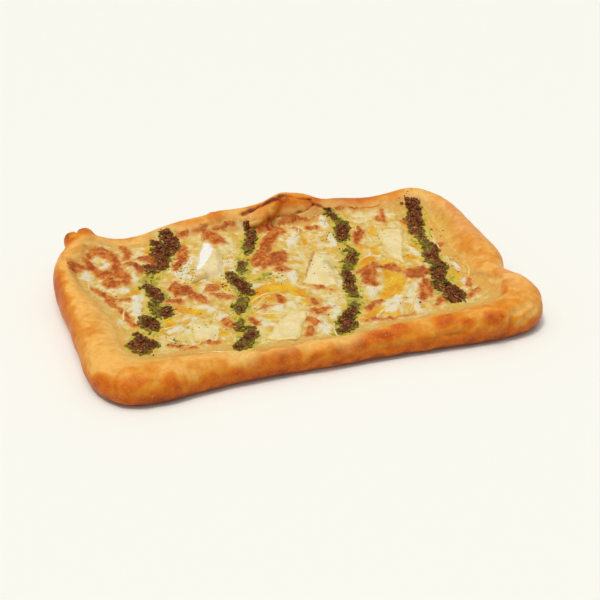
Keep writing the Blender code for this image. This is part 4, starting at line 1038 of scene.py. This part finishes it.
slice_skin, recipe, shader = new_material("soft_cheese")
mottle = recipe.grain(330.0, 4.0)
wide = recipe.grain(90.0, 4.0)
colour = recipe.mixed(recipe.band(wide, 0.35, 0.65), tone("EEDDAA"), tone("E8D292"))
uneven = recipe.uneven("melted", mottle)
colour = recipe.tinted(colour, "EFD486", uneven, 0.3, 1.0, 0.85)
grey = recipe.uneven("greyed", mottle, 0.30)
colour = recipe.tinted(colour, "A8A276", grey, 0.3, 1.1, 0.55)
rind = recipe.uneven("rind", mottle, 0.15)
colour = recipe.tinted(colour, "F5F2EA", rind, 0.35, 0.65)
# Brown lines; the one along the front slice's front edge is a painted shadow
line = recipe.uneven("browned", mottle)
colour = recipe.tinted(colour, "BC8040", line, 0.35, 0.95, 0.75)
finish_shader(
    recipe, shader, colour, (420.0, 0.2, 0.5), 0.0004, recipe.band(rind, 0.3, 0.7, 0.34, 0.62),
    coat=0.05, shine=0.25, inner_light=0.2, inner_reach=0.003,
)

for name, (corners, thickness, kept) in SLICES.items():
    first, second, third, fourth = (Vector(corner) for corner in corners)
    bm = bmesh.new()
    bmesh.ops.create_grid(bm, x_segments=40, y_segments=60, size=1.0)
    lower = list(bm.verts)
    extruded = bmesh.ops.extrude_face_region(bm, geom=list(bm.faces))["geom"]
    upper = [item for item in extruded if isinstance(item, bmesh.types.BMVert)]
    sides = ((first, second), (second, third), (third, fourth), (fourth, first))
    lines = [[tuple(1000.0 * start), tuple(1000.0 * end)] for start, end in sides]
    for verts in (lower, upper):
        for vert in verts:
            across, back = 0.5 + 0.5 * vert.co.x, 0.5 + 0.5 * vert.co.y
            place = fourth.lerp(third, across).lerp(first.lerp(second, across), back)
            spot = np.array([(*place, 0.0)])
            inner = min(float(distance_to(spot, line)[0]) for line in lines)
            waver = noise.noise_vector(Vector((place.x, place.y, 0.0)) / 0.007).xy
            waver += 0.4 * noise.noise_vector(Vector((place.x, place.y, 0.5)) / 0.0025).xy
            place = place + 0.0009 * waver
            height = drop(ground_tree, *place)
            if verts is upper:
                melted = float(ease((across - kept) / 0.25 + 0.5))
                crisp = 0.35 + 0.65 * float(ease(inner / 2.0))
                slumped = 0.9 * float(ease(inner / 7.0)) - 0.10
                dent = 0.0002 * noise.fractal(Vector((place.x, place.y, 0.3)) / 0.006, 1.0, 2.0, 3)
                height += thickness * (crisp + (slumped - crisp) * melted) + dent * min(1.0, inner)
            else:
                height -= 0.0006
            vert.co = Vector((*place, height))
    bmesh.ops.recalc_face_normals(bm, faces=bm.faces)
    piece = new_piece(f"{name}_soft", bm)
    smoothed(piece.data, 2)
    rows = rows_of(piece.data)
    strayed = stray(rows, 0.005, 0.0008)
    to_edge = np.minimum.reduce([distance_to(rows, line) for line in lines])
    keep_on_points(
        piece.data,
        rind=ease(0.5 + depth_in(strayed, (RIND,)) / 1.2),
        browned=ease(0.5 + depth_in(strayed, BROWN_AND_SHADOW_LINES) / 1.6),
        greyed=ease(0.5 + depth_in(strayed, GREYED) / 5.0),
        melted=np.maximum(ease(1.1 - to_edge / 3.5), spread(strayed, SLUMPED, 0.6)),
    )
    piece.data.materials.append(slice_skin)
    piece.data.shade_smooth()
    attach(piece, "root")
    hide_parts(name)

# ---------------------------------------------------------------- the shreds of cheese
# Grated strips of the hard cheese that kept their shape where the sheet was thin. They are
# sunk half into it and shine with its oil.

SHREDS = (
    ((-0.0677, -0.0807), -30.0, 0.026, 0.10),
    ((-0.0777, -0.0617), 25.0, 0.018, -0.08),
    ((-0.0957, -0.0557), -15.0, 0.016, 0.12),
    ((-0.1107, -0.0157), 70.0, 0.018, 0.10),
    ((-0.0857, -0.0397), 10.0, 0.015, -0.10),
    ((-0.0577, -0.0357), 60.0, 0.014, 0.12),
    ((-0.0227, -0.0217), 20.0, 0.024, 0.14),
    ((-0.0057, -0.0257), -40.0, 0.020, -0.12),
    ((-0.0277, -0.0437), -5.0, 0.016, 0.10),
    ((0.0073, -0.0737), 80.0, 0.018, 0.08),
    ((0.0443, -0.0617), 35.0, 0.022, 0.10),
    ((0.0643, -0.0537), 65.0, 0.024, -0.08),
    ((0.0723, -0.0427), 75.0, 0.020, 0.10),
    ((0.0583, 0.0083), 20.0, 0.016, 0.10),
    ((0.0223, 0.0583), 60.0, 0.018, -0.12),
    ((0.0383, 0.0503), 50.0, 0.016, 0.10),
    ((0.0683, 0.0543), 65.0, 0.018, 0.10),
    ((0.1143, -0.0277), 75.0, 0.018, -0.10),
    ((0.1143, 0.0183), 80.0, 0.018, 0.10),
    ((-0.1257, 0.0283), 70.0, 0.018, 0.10),
)
SHRED_HALF_WIDTH = 0.0008

shred_skin, recipe, shader = new_material("cheese_shreds")
wide = recipe.grain(160.0, 3.0)
colour = recipe.mixed(recipe.band(wide, 0.38, 0.60), tone("F2E2A4"), tone("E9C660"))
finish_shader(
    recipe, shader, colour, (700.0, 0.3, 0.4), 0.0003, recipe.band(wide, 0.35, 0.65, 0.25, 0.38),
    coat=0.3,
)
bm = bmesh.new()
for middle, turn, length, bend in SHREDS:
    along = Vector((math.cos(math.radians(turn)), math.sin(math.radians(turn))))
    aside = Vector((-along.y, along.x))
    strand = bmesh.new()
    bmesh.ops.create_cone(strand, cap_ends=True, segments=10, radius1=1.0, radius2=1.0, depth=1.0)
    lengthwise = [edge for edge in strand.edges if abs(edge.verts[0].co.z - edge.verts[1].co.z) > 0.5]
    bmesh.ops.subdivide_edges(strand, edges=lengthwise, cuts=11, use_grid_fill=True)
    for vert in strand.verts:
        share, u, v = vert.co.z, vert.co.x, vert.co.y
        place = Vector(middle) + along * length * share
        place += aside * length * bend * (1.0 - 4.0 * share ** 2)
        width = SHRED_HALF_WIDTH * (1.0 - 0.55 * (2.0 * abs(share)) ** 3)
        place += aside * u * width
        vert.co = Vector((*place, drop(ground_tree, *place) + width * (0.7 * v - 0.1)))
    poured(bm, strand)
shreds = new_piece("cheese_shreds", bm)
shreds.data.materials.append(shred_skin)
shreds.data.shade_smooth()
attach(shreds, "root")
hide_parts("melted_cheese")

# ---------------------------------------------------------------- herb flakes and pepper
# Dried basil flakes and coarse black pepper strewn over the cheese near the stripes, stuck in
# the oil. A few lie on the rim.

herb_skin, recipe, shader = new_material("herb_flakes")
mottle = recipe.grain(800.0, 3.0)
wide = recipe.grain(60.0, 2.0)
colour = recipe.mixed(recipe.band(mottle, 0.38, 0.62), tone("40340F"), tone("756828"))
colour = recipe.tinted(colour, "4A2212", wide, 0.45, 0.60)
finish_shader(
    recipe, shader, colour, (1200.0, 0.5, 0.5), 0.0002, recipe.band(mottle, 0.35, 0.65, 0.5, 0.7),
    coat=0.0, shine=0.15,
)

FLAKE_SIZE = (0.0003, 0.00075)            # least and most radius of a flake
GRAIN_SIZE = (0.00018, 0.00042)           # and of a grain of pepper
FLAKE_SHARE = 0.25

# Drifts of flakes in mm: middle, half sizes and how many lie there
DRIFTS = (
    (-65, 28, 8, 17, 84), (-88, -58, 10, 9, 30), (-14, 0, 15, 9, 36), (-92, -22, 15, 26, 70),
    (-36, -8, 12, 30, 60), (-35, 27, 7, 14, 16), (45, 43, 6, 14, 30), (47, 70, 6, 8, 14),
    (40, -15, 12, 26, 44), (112, 76, 6, 3, 10), (113, -9, 8, 21, 34), (80, 30, 18, 30, 18),
    (20, 0, 16, 24, 18), (-20, 55, 14, 20, 24), (120, 40, 6, 20, 12), (70, -55, 14, 10, 12),
    (-75, -5, 16, 22, 46), (-60, -45, 18, 16, 24), (-122, 20, 8, 20, 6), (5, -50, 14, 16, 12),
)

top_tree = tree_of(cheese.data, dough.data, *(bpy.data.objects[f"{name}_soft"].data for name in SLICES))
draw = random.Random(23)
bm = bmesh.new()
for x, y, wide, deep, count in DRIFTS:
    for _ in range(count):
        place = (0.001 * (x + wide * draw.gauss(0.0, 0.55)), 0.001 * (y + deep * draw.gauss(0.0, 0.55)))
        height = drop(top_tree, *place)
        if height and draw.random() < FLAKE_SHARE:
            crumb(bm, Vector((*place, height)), draw.uniform(*FLAKE_SIZE), draw, long=2.6, flat=0.35)
        elif height:
            crumb(bm, Vector((*place, height)), draw.uniform(*GRAIN_SIZE), draw, long=1.8)
flakes = new_piece("herb_flakes", bm)
flakes.data.materials.append(herb_skin)
flakes.data.shade_smooth()
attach(flakes, "root")
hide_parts("melted_cheese")

# ---------------------------------------------------------------- floor, light and camera
# A plain pale floor under two soft lamps that stand almost overhead, a little to the left. The
# camera looks from the front left and about 30 degrees down.

FLOOR_HALF_SIZE = 6.0

bm = bmesh.new()
bmesh.ops.create_grid(bm, x_segments=1, y_segments=1, size=FLOOR_HALF_SIZE)
floor = new_piece("studio_floor", bm)
floor_skin, recipe, shader = new_material("studio_floor")
shader.inputs["Base Color"].default_value = tone("F1F2EC")
shader.inputs["Roughness"].default_value = 0.9
shader.inputs["Specular IOR Level"].default_value = 0.1
floor.data.materials.append(floor_skin)

world = bpy.data.worlds.new("studio")
bpy.context.scene.world = world
world.use_nodes = True
sky = Recipe(world.node_tree)
up = sky.add("SeparateXYZ", {"Vector": sky.add("TexCoord").outputs["Generated"]}).outputs["Z"]
tent = sky.mixed(sky.band(up, 0.0, 0.9), (0.34, 0.335, 0.32, 1.0), (0.92, 0.91, 0.88, 1.0))
world.node_tree.links.new(tent, world.node_tree.nodes["Background"].inputs["Color"])
world.node_tree.nodes["Background"].inputs["Strength"].default_value = 0.62

for name, energy, angle, heading in (
    ("soft_key", 1.035, 42.0, (0.10, 0.0, -1.0)),
    ("small_key", 0.90, 9.0, (0.28, 0.08, -1.0)),
):
    light = bpy.data.lights.new(name, "SUN")
    light.energy, light.angle, light.color = energy, math.radians(angle), (1.0, 0.985, 0.96)
    lamp = bpy.data.objects.new(name, light)
    lamp.rotation_euler = Vector(heading).to_track_quat("-Z", "Y").to_euler()
    bpy.context.scene.collection.objects.link(lamp)

lens = bpy.data.cameras.new("camera")
lens.lens, lens.sensor_width = 63.0, 36.0
camera = bpy.data.objects.new("camera", lens)
camera.location = (-0.17850, -0.58288, 0.34784)
camera.rotation_euler = Vector((0.26315, 0.82594, -0.49858)).to_track_quat("-Z", "Y").to_euler()
bpy.context.scene.collection.objects.link(camera)
bpy.context.scene.camera = camera
